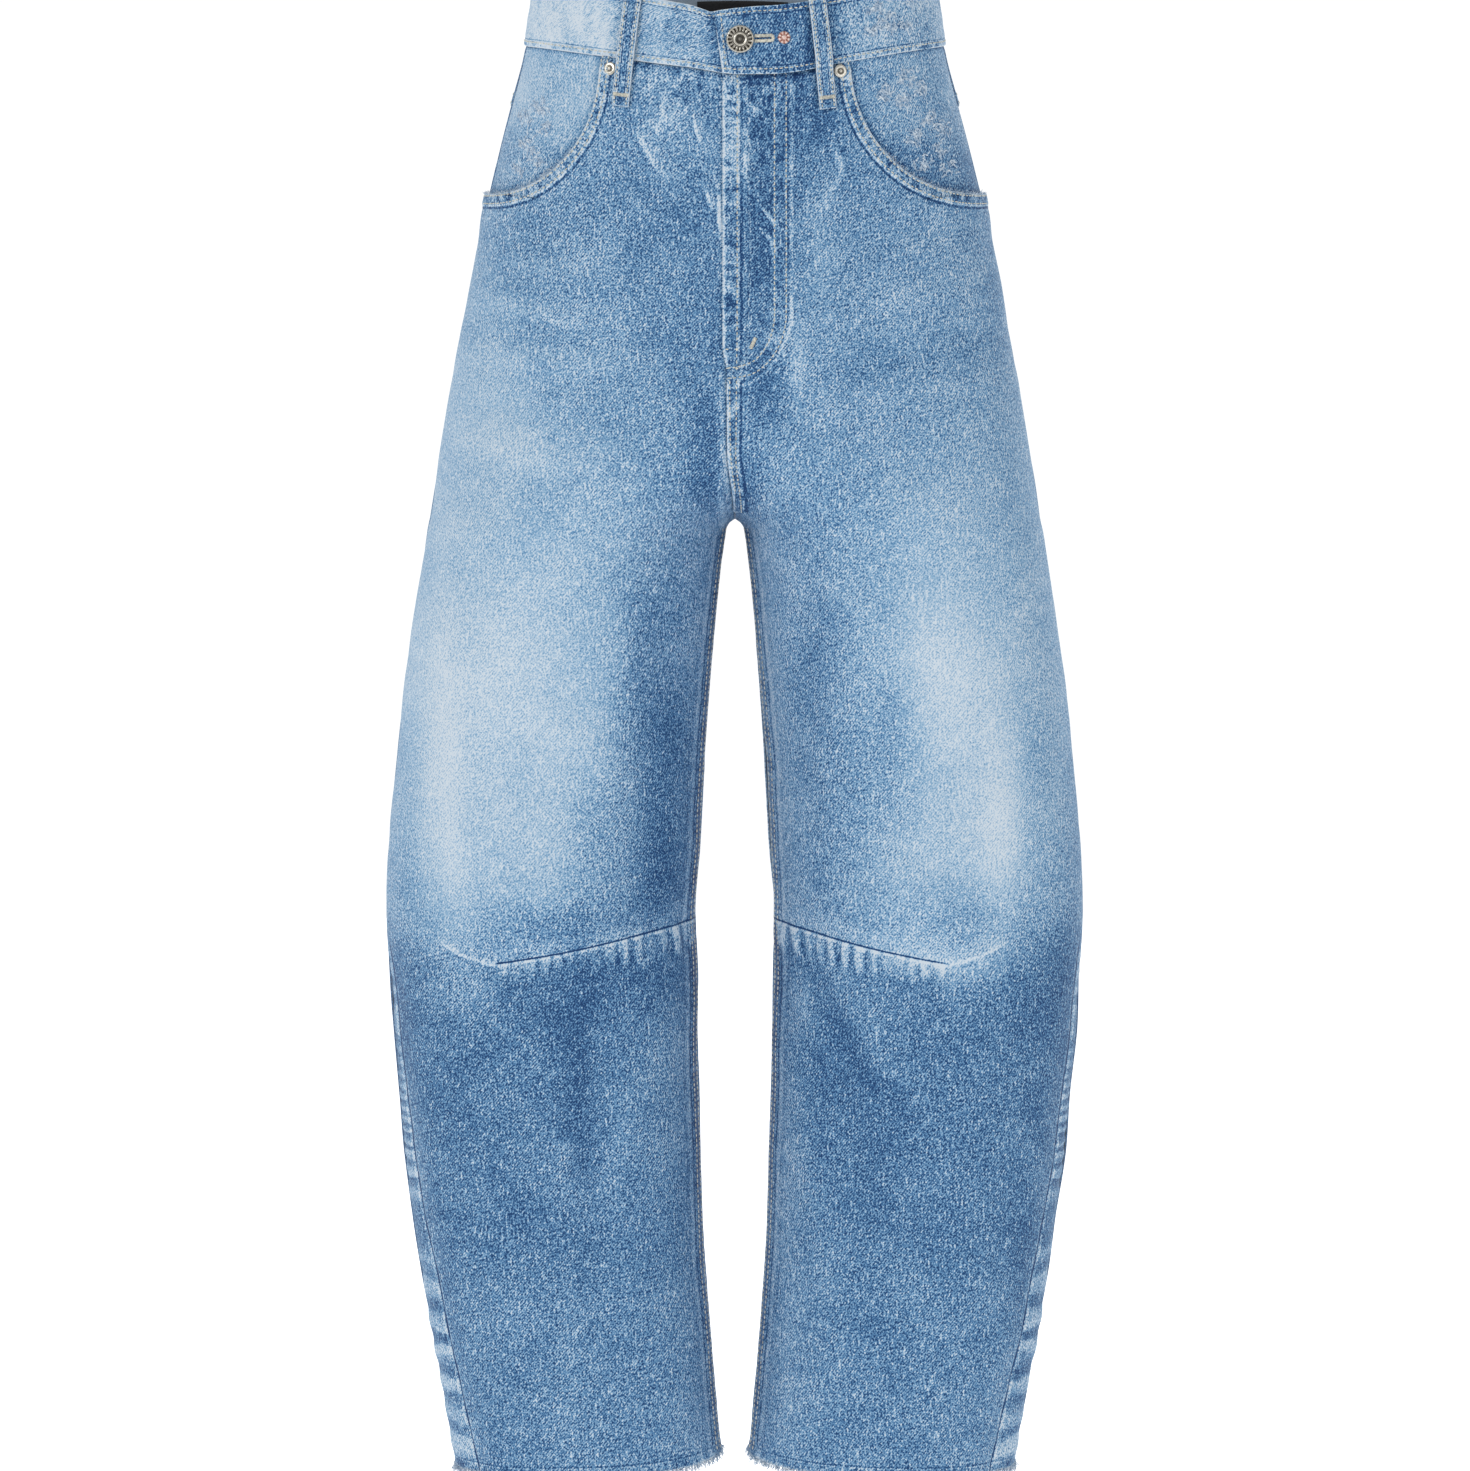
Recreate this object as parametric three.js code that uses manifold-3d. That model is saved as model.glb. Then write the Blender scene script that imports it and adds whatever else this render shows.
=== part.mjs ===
// Barrel-leg jeans, filled out as they are when worn, with nobody in them.
// Millimetres, +Z up. X runs to the wearer's left and Y from front to back, so the fly looks along -Y.
// The origin is the middle of the waist at the level of the side seams' top edge.
// A place on the cloth is given by its half (front or back), a share round that half (0 at the
// centre or inner leg seam, 1 at the outer seam) and its drop, the distance down from the waist.

import * as THREE from "three";
import { mergeVertices } from "three/addons/utils/BufferGeometryUtils.js";
import Module from "manifold-3d";

const wasm = await Module();
wasm.setup();

// Driving sizes
const SEAM_GAP = 0.3;
const CLOTH = 1.2;
const BAND_IN = 1.2;
const BAND_OUT = 1.3;
const BAND_HEIGHT = 40;
const FRONT_DIP = 17;
const BACK_RISE = 14;
const LEVEL_BY = 320;
const CROTCH = 346;
const INSEAM_HEM = 952.5;
const ROUNDNESS = 2.25;
const DIP_SHAPE = 1.2;
const FOLD_END = 0.45;

const LAYER = CLOTH + SEAM_GAP;
const HALF_GAP = SEAM_GAP / 2;
const WAIST_SEAM = BAND_HEIGHT;

// The garment's levels: outer and inner are the leg's edges from the middle plane (an inner edge
// below zero says how far the oval would reach past that plane), front and back are its depths.
const LEVELS = [
  { drop: 0, outer: 129, inner: -129, front: 91, back: 90 },
  { drop: 40, outer: 135.4, inner: -135.4, front: 94, back: 97 },
  { drop: 107, outer: 152.4, inner: -150, front: 99, back: 111 },
  { drop: 146, outer: 161.8, inner: -156, front: 102, back: 120 },
  { drop: 205, outer: 173.9, inner: -148, front: 105, back: 129 },
  { drop: 262, outer: 184, inner: -112, front: 105, back: 130 },
  { drop: 300, outer: 190.3, inner: -68, front: 104, back: 124 },
  { drop: 326, outer: 194.7, inner: -28, front: 103, back: 117 },
  { drop: 340, outer: 197, inner: -7, front: 102, back: 113 },
  { drop: CROTCH, outer: 198, inner: 0, front: 101.5, back: 111.5 },
  { drop: 350, outer: 199, inner: 5.2, front: 101, back: 110.5 },
  { drop: 367, outer: 201.5, inner: 8, front: 100, back: 106.5 },
  { drop: 419, outer: 209.6, inner: 13.3, front: 98, back: 98 },
  { drop: 497, outer: 219.4, inner: 19.2, front: 95, back: 91 },
  { drop: 549, outer: 224.3, inner: 22.4, front: 93, back: 88 },
  { drop: 601, outer: 226.2, inner: 25.4, front: 90, back: 85 },
  { drop: 653, outer: 224.6, inner: 24.4, front: 86, back: 83 },
  { drop: 705, outer: 221, inner: 24, front: 83, back: 81 },
  { drop: 757, outer: 216, inner: 22.4, front: 80, back: 79 },
  { drop: 809, outer: 209.2, inner: 20.8, front: 77, back: 77 },
  { drop: 861, outer: 200.8, inner: 17.2, front: 74, back: 75 },
  { drop: 913, outer: 191.8, inner: 13, front: 71, back: 73 },
  { drop: 965, outer: 182.2, inner: 8.3, front: 69, back: 71 },
];

// The front pocket openings are quarter ellipses hung from the outer seam.
const POCKET = { outerEdge: 161, depth: 96, widthRight: 76, widthLeft: 88, underlap: 8, sink: 1.2 };
const POCKET_LIFT = { full: 11, slope: 22 };
const POCKET_BOTTOM = WAIST_SEAM + POCKET.depth;

// The wearer's left front closes over the right one. Its folded edge runs down to the fly's end.
const FLY = { edge: 8, end: 250, release: 257, settle: 18, flat: 2, slope: 18 };
const FLY_SHARES = [0.005, 0.03, 0.06];
const CLOSED_SHARES = [0.02, 0.04, 0.06];

// The dart over each knee, from the inner leg seam to a part of the way across the leg, and the
// dart up the outer shin.
const KNEE = { drop: 605, fall: 19, rise: 9, reach: 150, share: 0.66, groove: 3.2, halfWidth: 9 };
const KNEE_TIP = 0.1;
const SHIN = { top: 612, topShare: 0.93, hemShare: 0.8, fadeIn: 60, groove: 2.4, halfWidth: 8 };
const HEM = { outerFall: 9.5, middleFall: 5, from: 650 };

// The largest soft folds: from one place to another, given by distance from the middle plane and
// drop, with a half-width and a height outwards (a trough has a height below zero).
const FOLDS = [
  { side: -1, half: "front", x1: 88, d1: 655, x2: 88, d2: 850, width: 20, height: -5 },
  { side: -1, half: "front", x1: 140, d1: 560, x2: 110, d2: 600, width: 34, height: 5 },
  { side: -1, half: "front", x1: 62, d1: 120, x2: 52, d2: 300, width: 22, height: -3 },
  { side: -1, half: "front", x1: 40, d1: 420, x2: 60, d2: 590, width: 20, height: -3 },
  { side: 1, half: "front", x1: 44, d1: 640, x2: 92, d2: 780, width: 18, height: -4 },
  { side: 1, half: "front", x1: 125, d1: 560, x2: 100, d2: 600, width: 34, height: 5 },
  { side: 1, half: "front", x1: 48, d1: 400, x2: 36, d2: 540, width: 18, height: -3 },
  { side: 1, half: "front", x1: 150, d1: 680, x2: 140, d2: 850, width: 24, height: 3 },
  { side: -1, half: "back", x1: 20, d1: 330, x2: 150, d2: 372, width: 20, height: -5 },
  { side: 1, half: "back", x1: 20, d1: 330, x2: 150, d2: 380, width: 20, height: -5 },
  { side: -1, half: "back", x1: 60, d1: 585, x2: 170, d2: 600, width: 18, height: -5 },
  { side: 1, half: "back", x1: 55, d1: 600, x2: 175, d2: 585, width: 18, height: -5 },
  { side: -1, half: "back", x1: 110, d1: 640, x2: 100, d2: 860, width: 22, height: -4 },
  { side: 1, half: "back", x1: 100, d1: 640, x2: 95, d2: 860, width: 22, height: -4 },
];

const clamp = (value, low, high) => Math.min(high, Math.max(low, value));
const lerp = (a, b, share) => a + (b - a) * share;
const smooth = (value) => {
  const v = clamp(value, 0, 1);
  return v * v * (3 - 2 * v);
};
const steps = (count, make) => Array.from({ length: count }, (_, i) => make(i / (count - 1), i));

// A smooth curve through the rows of a table that never swings past them.
function curveThrough(table, column) {
  const x = table.map((row) => row.drop);
  const y = table.map((row) => row[column]);
  const slope = x.slice(1).map((_, i) => (y[i + 1] - y[i]) / (x[i + 1] - x[i]));
  const tangent = x.map((_, i) => {
    if (i === 0) return slope[0];
    if (i === x.length - 1) return slope[i - 1];
    const [before, after] = [slope[i - 1], slope[i]];
    return before * after <= 0 ? 0 : (2 * before * after) / (before + after);
  });
  return (at) => {
    const v = clamp(at, x[0], x[x.length - 1]);
    let i = 0;
    while (i < x.length - 2 && v > x[i + 1]) i += 1;
    const span = x[i + 1] - x[i];
    const s = (v - x[i]) / span;
    const rise = tangent[i] * s * (1 - s) ** 2 - tangent[i + 1] * s * s * (1 - s);
    return lerp(y[i], y[i + 1], s * s * (3 - 2 * s)) + span * rise;
  };
}

const level = {
  outer: curveThrough(LEVELS, "outer"),
  inner: curveThrough(LEVELS, "inner"),
  front: curveThrough(LEVELS, "front"),
  back: curveThrough(LEVELS, "back"),
};

const signedPower = (value, power) => Math.sign(value) * Math.abs(value) ** power;

// One level's oval: its middle, its reach to the side, and the angle where the cloth ends, which is
// the middle plane above the crotch and the inner leg seam below it.
function oval(drop) {
  const outer = level.outer(drop);
  const inner = level.inner(drop);
  const middle = (outer + inner) / 2;
  const reach = (outer - inner) / 2;
  const end = inner >= 0 ? Math.PI : Math.acos(-signedPower(middle / reach, ROUNDNESS / 2));
  return { outer, inner, middle, reach, end };
}

// The waist edge dips at the centre front and rises at the centre back, less and less lower down.
function waistLine(half, across, drop) {
  const fade = 1 - smooth((drop - WAIST_SEAM) / (LEVEL_BY - WAIST_SEAM));
  if (half === "front") return -FRONT_DIP * fade * (1 - across ** DIP_SHAPE);
  return BACK_RISE * fade * (1 - across * across);
}

// A point of the garment's main surface on the wearer's left.
function surface(half, share, drop) {
  const { outer, middle, reach, end } = oval(drop);
  const angle = end * (1 - share);
  const x = middle + reach * signedPower(Math.cos(angle), 2 / ROUNDNESS);
  const depth = level[half](drop) * signedPower(Math.sin(angle), 2 / ROUNDNESS);
  const z = -drop + waistLine(half, clamp(Math.abs(x) / outer, 0, 1), drop);
  return new THREE.Vector3(x, half === "front" ? -depth : depth, z);
}

// The way out of the surface, square to it.
function outward(half, share, drop) {
  const [nearShare, nearDrop] = [0.002, 0.4];
  const along = surface(half, share + nearShare, drop).sub(surface(half, share - nearShare, drop));
  const down = surface(half, share, drop + nearDrop).sub(surface(half, share, drop - nearDrop));
  const normal = half === "front" ? down.cross(along) : along.cross(down);
  return normal.normalize();
}

// A place on the cloth, moved out from the main surface by `out`. A share below zero laps over
// the middle plane. No piece reaches past the seams that bound its half.
function place(side, half, share, drop, out = 0) {
  const size = Math.abs(share);
  const point = surface(half, size, drop).addScaledVector(outward(half, size, drop), out);
  if (level.inner(drop) < 0 && share >= 0) point.x = Math.max(point.x, HALF_GAP);
  point.y = half === "front" ? Math.min(point.y, -HALF_GAP) : Math.max(point.y, HALF_GAP);
  point.x *= share < 0 ? -side : side;
  return point;
}

// The share round a half at which the cloth stands `x` from the middle plane.
function shareAt(x, drop) {
  const { middle, reach, end } = oval(drop);
  const c = clamp((x - middle) / reach, -1, 1);
  return 1 - Math.acos(signedPower(c, ROUNDNESS / 2)) / end;
}

// The share at a distance round the cloth from the centre of the back.
function shareRound(distance, drop) {
  const count = 60;
  let before = surface("back", 0, drop);
  let walked = 0;
  for (let i = 1; i <= count; i += 1) {
    const point = surface("back", i / count, drop);
    const step = point.distanceTo(before);
    if (walked + step >= distance) return (i - 1 + (distance - walked) / step) / count;
    walked += step;
    before = point;
  }
  return 1;
}

const distanceOut = (share, drop) => Math.abs(surface("front", Math.abs(share), drop).x);

// How far the knee dart lies below its inner end.
function kneeFall(share) {
  const s = clamp(share / KNEE.share, 0, 1);
  const past = clamp((share - KNEE.share) / (1 - KNEE.share), 0, 1);
  return KNEE.fall * (1 - (1 - s) ** 1.5) - KNEE.rise * past;
}

// Rows of cloth follow the knee dart and the hem, which aren't level.
function rowDrop(half, share, drop) {
  let at = drop;
  if (half === "front") {
    const near = 1 - smooth(Math.abs(drop - KNEE.drop) / KNEE.reach);
    at += kneeFall(share) * near;
  }
  const low = clamp((drop - HEM.from) / (INSEAM_HEM - HEM.from), 0, 1) ** 2;
  const middle = 4 * share * (1 - share);
  return at + low * (HEM.outerFall * share + HEM.middleFall * middle);
}

// The dart up the outer shin, from its point beside the knee to the hem.
function shinShare(drop) {
  return lerp(SHIN.topShare, SHIN.hemShare, (drop - SHIN.top) / (INSEAM_HEM - SHIN.top));
}

// The folds, the knee dart's groove and the shin dart's groove at a place, outwards.
function relief(side, half, share, drop) {
  const x = distanceOut(share, drop);
  let height = 0;
  for (const f of FOLDS) {
    if (f.side !== side || f.half !== half) continue;
    const [dx, dd] = [f.x2 - f.x1, f.d2 - f.d1];
    const along = clamp(((x - f.x1) * dx + (drop - f.d1) * dd) / (dx * dx + dd * dd), 0, 1);
    const away = Math.hypot(x - f.x1 - along * dx, drop - f.d1 - along * dd) / f.width;
    height += f.height * Math.exp(-away * away) * lerp(FOLD_END, 1, Math.sin(Math.PI * along));
  }
  if (half === "front") {
    const fromKnee = (drop - KNEE.drop - kneeFall(share)) / KNEE.halfWidth;
    const kneeEnd = 1 - smooth((share - KNEE.share + KNEE_TIP) / (1.5 * KNEE_TIP));
    height -= KNEE.groove * Math.exp(-fromKnee * fromKnee) * kneeEnd;
    if (drop > SHIN.top) {
      const fromShin = (x - distanceOut(shinShare(drop), drop)) / SHIN.halfWidth;
      height -= SHIN.groove * Math.exp(-fromShin * fromShin) * smooth((drop - SHIN.top) / SHIN.fadeIn);
    }
  }
  return height;
}

// How far outside a pocket opening's edge a place on the front lies.
function fromPocket(side, x, drop) {
  const width = side < 0 ? POCKET.widthRight : POCKET.widthLeft;
  const across = Math.max(0, POCKET.outerEdge - x) / width;
  const down = Math.max(0, drop - WAIST_SEAM) / POCKET.depth;
  return (Math.hypot(across, down) - 1) * POCKET.depth;
}

// A front lies one layer above what is under its pocket edge and, on the wearer's left, its fly.
function frontLift(side, share, drop) {
  const x = distanceOut(share, drop);
  const pocket = 1 - smooth((fromPocket(side, x, drop) - POCKET_LIFT.full) / POCKET_LIFT.slope);
  const signed = share < 0 ? -x : x;
  const flyDown = 1 - smooth((drop - FLY.release) / FLY.settle);
  const fly = side > 0 ? (1 - smooth((signed - FLY.flat) / FLY.slope)) * flyDown : 0;
  return LAYER * Math.max(pocket, fly);
}

const frontFace = (side, share, drop) =>
  relief(side, "front", Math.max(share, 0), drop) + frontLift(side, share, drop);

// A closed wall between two faces of a grid of rows. faces(i, j) gives [outer, inner].
function wall(rowCount, columnCount, faces) {
  const positions = [];
  const index = [];
  const at = (layer, i, j) => (layer * rowCount + i) * columnCount + j;
  const grid = [];
  for (let i = 0; i < rowCount; i += 1)
    for (let j = 0; j < columnCount; j += 1) grid.push(faces(i, j));
  for (const layer of [0, 1]) for (const pair of grid) positions.push(...pair[layer].toArray());
  const quad = (a, b, c, d) => index.push(a, b, c, a, c, d);
  for (let i = 0; i < rowCount - 1; i += 1)
    for (let j = 0; j < columnCount - 1; j += 1) {
      quad(at(0, i, j), at(0, i + 1, j), at(0, i + 1, j + 1), at(0, i, j + 1));
      quad(at(1, i, j), at(1, i, j + 1), at(1, i + 1, j + 1), at(1, i + 1, j));
    }
  const [lastRow, lastColumn] = [rowCount - 1, columnCount - 1];
  for (let j = 0; j < lastColumn; j += 1) {
    quad(at(0, 0, j), at(0, 0, j + 1), at(1, 0, j + 1), at(1, 0, j));
    quad(at(0, lastRow, j + 1), at(0, lastRow, j), at(1, lastRow, j), at(1, lastRow, j + 1));
  }
  for (let i = 0; i < lastRow; i += 1) {
    quad(at(0, i + 1, 0), at(0, i, 0), at(1, i, 0), at(1, i + 1, 0));
    quad(at(0, i, lastColumn), at(0, i + 1, lastColumn), at(1, i + 1, lastColumn), at(1, i, lastColumn));
  }
  const geometry = new THREE.BufferGeometry();
  geometry.setAttribute("position", new THREE.Float32BufferAttribute(positions, 3));
  geometry.setIndex(index);
  return facingOut(geometry);
}

// Turns the faces round if the solid is inside out.
function facingOut(geometry) {
  const p = geometry.getAttribute("position");
  const index = geometry.getIndex().array;
  const [a, b, c] = [new THREE.Vector3(), new THREE.Vector3(), new THREE.Vector3()];
  let volume = 0;
  for (let i = 0; i < index.length; i += 3) {
    a.fromBufferAttribute(p, index[i]);
    b.fromBufferAttribute(p, index[i + 1]);
    c.fromBufferAttribute(p, index[i + 2]);
    volume += a.dot(b.cross(c));
  }
  if (volume < 0)
    for (let i = 0; i < index.length; i += 3)
      [index[i + 1], index[i + 2]] = [index[i + 2], index[i + 1]];
  geometry.computeVertexNormals();
  return geometry;
}

const finish = (color, roughness, metalness = 0) =>
  new THREE.MeshStandardMaterial({ color, roughness, metalness });
const DENIM = finish(0x7fa3c7, 0.9);
const PALE_DENIM = finish(0x93b0cc, 0.9);
const DEEP_DENIM = finish(0x5f88b4, 0.9);
const STEEL = finish(0xb7b4ac, 0.35, 1);
const COPPER = finish(0xc98f78, 0.45, 1);
const BLACK_TAPE = finish(0x15161a, 0.8);

const jeans = new THREE.Group();

function add(name, geometry, material) {
  const mesh = new THREE.Mesh(geometry, material);
  mesh.name = name;
  jeans.add(mesh);
  return mesh;
}

// Levels of the rows in the fronts and backs, closest together where the cloth turns most.
const POCKET_TURNS = [0, 22, 42, 58, 70, 79, 85, 88, 90];
const POCKET_ROWS = POCKET_TURNS.map(
  (turn) => WAIST_SEAM + POCKET.depth * Math.sin(THREE.MathUtils.degToRad(turn)),
);
const HIP_ROWS = [148, 165, 190, 220, FLY.end, FLY.release, 275, 296];
const CROTCH_ROWS = [316, 330, 340, CROTCH, 350, 358, 375];
const FRONT_COLUMNS = 16;
const FRONT_LEG_ROWS = [400, 432, 465, 498, 530, 560, 582, 596, 605, 614, 628];
const SHIN_ROWS = [650, 690, 730, 770, 810, 850, 890, 925, INSEAM_HEM];

// The shares of one level's columns. The left front's first ones follow its fly.
function frontShares(side, drop) {
  const width = side < 0 ? POCKET.widthRight : POCKET.widthLeft;
  const down = (drop - WAIST_SEAM) / POCKET.depth;
  const edge = POCKET.outerEdge - width * Math.sqrt(Math.max(0, 1 - down * down));
  const outer = drop < POCKET_BOTTOM ? shareAt(edge, drop) : 1;
  if (side < 0) return steps(FRONT_COLUMNS, (s) => s * outer);
  const lapped = drop <= FLY.end;
  const first = lapped ? [-shareAt(FLY.edge, drop), ...FLY_SHARES] : [0, ...CLOSED_SHARES];
  return [...first, ...steps(FRONT_COLUMNS - 2, (s) => lerp(FLY_SHARES[2], outer, s)).slice(1)];
}

// A front: waist seam to hem, from the centre or inner leg seam to the pocket edge or outer seam.
function frontPanel(side) {
  const drops = [...POCKET_ROWS, ...HIP_ROWS, ...CROTCH_ROWS, ...FRONT_LEG_ROWS, ...SHIN_ROWS];
  const rows = drops.map((drop) => frontShares(side, drop));
  return wall(drops.length, rows[0].length, (i, j) => {
    const share = rows[i][j];
    const top = i === 0 ? HALF_GAP : 0;
    const drop = rowDrop("front", Math.max(share, 0), drops[i] + top);
    const out = frontFace(side, share, drop);
    return [place(side, "front", share, drop, out), place(side, "front", share, drop, out - CLOTH)];
  });
}

// The hip piece that shows in a pocket opening and runs a little way under the front.
const FACING_TURN = THREE.MathUtils.degToRad(83);

function hipPanel(side) {
  const columns = 10;
  const width = (side < 0 ? POCKET.widthRight : POCKET.widthLeft) + POCKET.underlap;
  const depth = POCKET.depth + POCKET.underlap;
  const drops = steps(8, (s) => WAIST_SEAM + depth * Math.sin(s * FACING_TURN));
  return wall(drops.length, columns, (i, j) => {
    const down = (drops[i] - WAIST_SEAM) / depth;
    const inner = shareAt(POCKET.outerEdge - width * Math.sqrt(1 - down * down), drops[i]);
    const share = lerp(inner, 1, j / (columns - 1));
    const drop = i === 0 ? drops[i] + HALF_GAP : drops[i];
    return [-POCKET.sink, -POCKET.sink - CLOTH].map((out) => place(side, "front", share, drop, out));
  });
}

// The back yoke is narrow at the side and comes to a point at the centre back.
const YOKE = { side: 78, centre: 108, fade: 200, columns: 13 };
const yokeSeam = (share) => lerp(YOKE.centre, YOKE.side, share);

function yoke(side) {
  const [rows, columns] = [4, YOKE.columns];
  return wall(rows, columns, (i, j) => {
    const share = j / (columns - 1);
    const drop = lerp(WAIST_SEAM + HALF_GAP, yokeSeam(share) - HALF_GAP, i / (rows - 1));
    return [place(side, "back", share, drop, 0), place(side, "back", share, drop, -CLOTH)];
  });
}

const SEAT_ROWS = [100, 125, 150, 180, 210, 240, 268, 294, 315, 330, 340, CROTCH, 350, 360, 380];
const BACK_LEG_ROWS = [410, 450, 490, 530, 565, 595, 625, 660, 700, 745, 790, 840, 895, INSEAM_HEM];

function backDrop(share, drop) {
  const near = 1 - smooth((drop - YOKE.side) / (YOKE.fade - YOKE.side));
  return rowDrop("back", share, drop + (yokeSeam(share) - YOKE.side) * near);
}

function backPanel(side) {
  const drops = [YOKE.side + HALF_GAP, ...SEAT_ROWS, ...BACK_LEG_ROWS];
  const columns = YOKE.columns;
  return wall(drops.length, columns, (i, j) => {
    const share = j / (columns - 1);
    const drop = backDrop(share, drops[i]);
    const out = relief(side, "back", share, drop);
    return [place(side, "back", share, drop, out), place(side, "back", share, drop, out - CLOTH)];
  });
}

// A patch pocket on the seat: square corners above, a blunt point below.
const PATCH = { top: 126, height: 148, side: 118, inner: 34, halfTop: 70, halfLow: 62 };
const PATCH_SLANT = 0.1;
const PATCH_GAP = 0.6;

function backPocket(side) {
  const [rows, columns] = [8, 11];
  const middle = PATCH.inner + PATCH.halfTop;
  return wall(rows, columns, (i, j) => {
    const [s, turn] = [i / (rows - 1), lerp(-1, 1, j / (columns - 1))];
    const across = turn * lerp(PATCH.halfTop, PATCH.halfLow, s);
    const length = lerp(PATCH.height, PATCH.side, Math.abs(turn));
    const drop = PATCH.top + length * s - PATCH_SLANT * across;
    const share = shareRound(middle + across, drop);
    const out = relief(side, "back", share, drop) + PATCH_GAP;
    return [place(side, "back", share, drop, out + CLOTH), place(side, "back", share, drop, out)];
  });
}

// The waistband starts at its lapped end on the wearer's right of the centre, goes all round by
// the wearer's left, and ends under itself. Shares run 0 to 1 on each half.
const BAND_LIFT = BAND_IN + BAND_OUT + SEAM_GAP;
const BAND = {
  lap: 9.5,
  flatTo: 40,
  downTo: 72,
  leftColumns: [0, 6, 12, 20, 28, 36, 42, 50, 58, 66, 76, 90, 102, 113, 122, 129],
  underColumns: [8, 16, 25, 34],
  frontColumns: 15,
  backColumns: 13,
};

function bandColumns() {
  const front = (side, x, lift) => ({ side, half: "front", share: shareAt(x, BAND_HEIGHT / 2), lift });
  const lap = [BAND.lap, BAND.lap / 2].map((x) => {
    const column = front(1, x, 1);
    return { ...column, share: -column.share };
  });
  const left = BAND.leftColumns.map((x) =>
    front(1, x, 1 - smooth((x - BAND.flatTo) / (BAND.downTo - BAND.flatTo))),
  );
  const round = (side, half, count, share) =>
    steps(count, (s) => ({ side, half, share: share(s), lift: 0 }));
  return [
    ...lap,
    ...left,
    ...round(1, "back", BAND.backColumns, (s) => 1 - s),
    ...round(-1, "back", BAND.backColumns, (s) => s).slice(1),
    ...round(-1, "front", BAND.frontColumns, (s) => 1 - s).slice(1),
    ...BAND.underColumns.map((x) => front(1, x, 0)),
  ];
}

// The band's halves are one piece, so they meet on the planes between them with no gap.
function bandPoint(column, drop, out) {
  const point = place(column.side, column.half, column.share, drop, out);
  if (column.share > 0.999) point.y = 0;
  if (Math.abs(column.share) < 0.001) point.x = 0;
  return point;
}

function waistband() {
  const columns = bandColumns();
  const levels = [0, BAND_HEIGHT / 2, BAND_HEIGHT - HALF_GAP];
  const band = wall(levels.length, columns.length, (i, j) => {
    const out = BAND_LIFT * columns[j].lift;
    return [BAND_OUT, -BAND_IN].map((face) => bandPoint(columns[j], levels[i], out + face));
  });
  return cutButtonhole(band);
}

// Joins the vertices that share a place and drops the faces that close to nothing.
function joined(geometry) {
  geometry.deleteAttribute("normal");
  geometry.deleteAttribute("uv");
  const merged = mergeVertices(geometry, 1e-4);
  const index = merged.getIndex().array;
  const kept = [];
  for (let i = 0; i < index.length; i += 3) {
    const [a, b, c] = [index[i], index[i + 1], index[i + 2]];
    if (a !== b && b !== c && a !== c) kept.push(a, b, c);
  }
  merged.setIndex(kept);
  return merged;
}

// A solid for manifold-3d from a closed geometry that holds only positions and an index.
function solidOf(geometry) {
  return new wasm.Manifold(
    new wasm.Mesh({
      numProp: 3,
      vertProperties: new Float32Array(geometry.getAttribute("position").array),
      triVerts: new Uint32Array(geometry.getIndex().array),
    }),
  );
}

function geometryOf(solid) {
  const mesh = solid.getMesh();
  const geometry = new THREE.BufferGeometry();
  geometry.setAttribute("position", new THREE.BufferAttribute(mesh.vertProperties, 3));
  geometry.setIndex(new THREE.BufferAttribute(mesh.triVerts, 1));
  geometry.computeVertexNormals();
  return geometry;
}

// The keyhole that the button's stem stands in, through the band's outer layer only.
const BUTTON = { x: 3.2, drop: 19, stem: 2.4 };
const KEYHOLE = { eye: 3.2, slit: 0.9, length: 21, depth: 6 };

function keyholeCutter() {
  const outline = new THREE.Shape();
  const corner = Math.asin(KEYHOLE.slit / KEYHOLE.eye);
  outline.absarc(0, 0, KEYHOLE.eye, corner, 2 * Math.PI - corner, false);
  outline.lineTo(KEYHOLE.length, -KEYHOLE.slit);
  outline.lineTo(KEYHOLE.length, KEYHOLE.slit);
  const options = { depth: KEYHOLE.depth, bevelEnabled: false, curveSegments: 10 };
  const cutter = joined(new THREE.ExtrudeGeometry(outline, options));
  const p = cutter.getAttribute("position");
  for (let i = 0; i < p.count; i += 1) {
    const drop = BUTTON.drop - p.getY(i);
    const out = BAND_OUT + HALF_GAP + p.getZ(i);
    const point = place(1, "front", shareAt(BUTTON.x + p.getX(i), drop), drop, out);
    p.setXYZ(i, point.x, point.y, point.z);
  }
  return facingOut(cutter);
}

const cutButtonhole = (band) => geometryOf(solidOf(band).subtract(solidOf(keyholeCutter())));

// A belt loop leans a little, lies on the band and the cloth, and arches between its stitched ends.
const LOOP = { half: 5.2, thick: 1.9, top: -1.2, bottom: 71.5, arch: 1.9, archShape: 0.7, settle: 9 };
const LOOPS = [
  { name: "belt_loop_front_right", side: -1, half: "front", topX: 63.5, bottomX: 72 },
  { name: "belt_loop_front_left", side: 1, half: "front", topX: 50.5, bottomX: 58.5 },
  { name: "belt_loop_back_right", side: -1, half: "back", topX: 98, bottomX: 103 },
  { name: "belt_loop_back_left", side: 1, half: "back", topX: 98, bottomX: 103 },
  { name: "belt_loop_centre_back", side: 1, half: "back", topX: 0, bottomX: 0 },
];

// The outermost face of what lies under a loop.
function loopSeat({ side, half }, x, drop) {
  const lapped = side > 0 && half === "front";
  const lift = lapped ? 1 - smooth((x - BAND.flatTo) / (BAND.downTo - BAND.flatTo)) : 0;
  const band = BAND_OUT + BAND_LIFT * lift;
  const cloth = half === "front" ? frontFace(side, shareAt(x, drop), drop) : 0;
  return lerp(Math.max(band, cloth), cloth, smooth((drop - BAND_HEIGHT - 1) / LOOP.settle));
}

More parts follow.
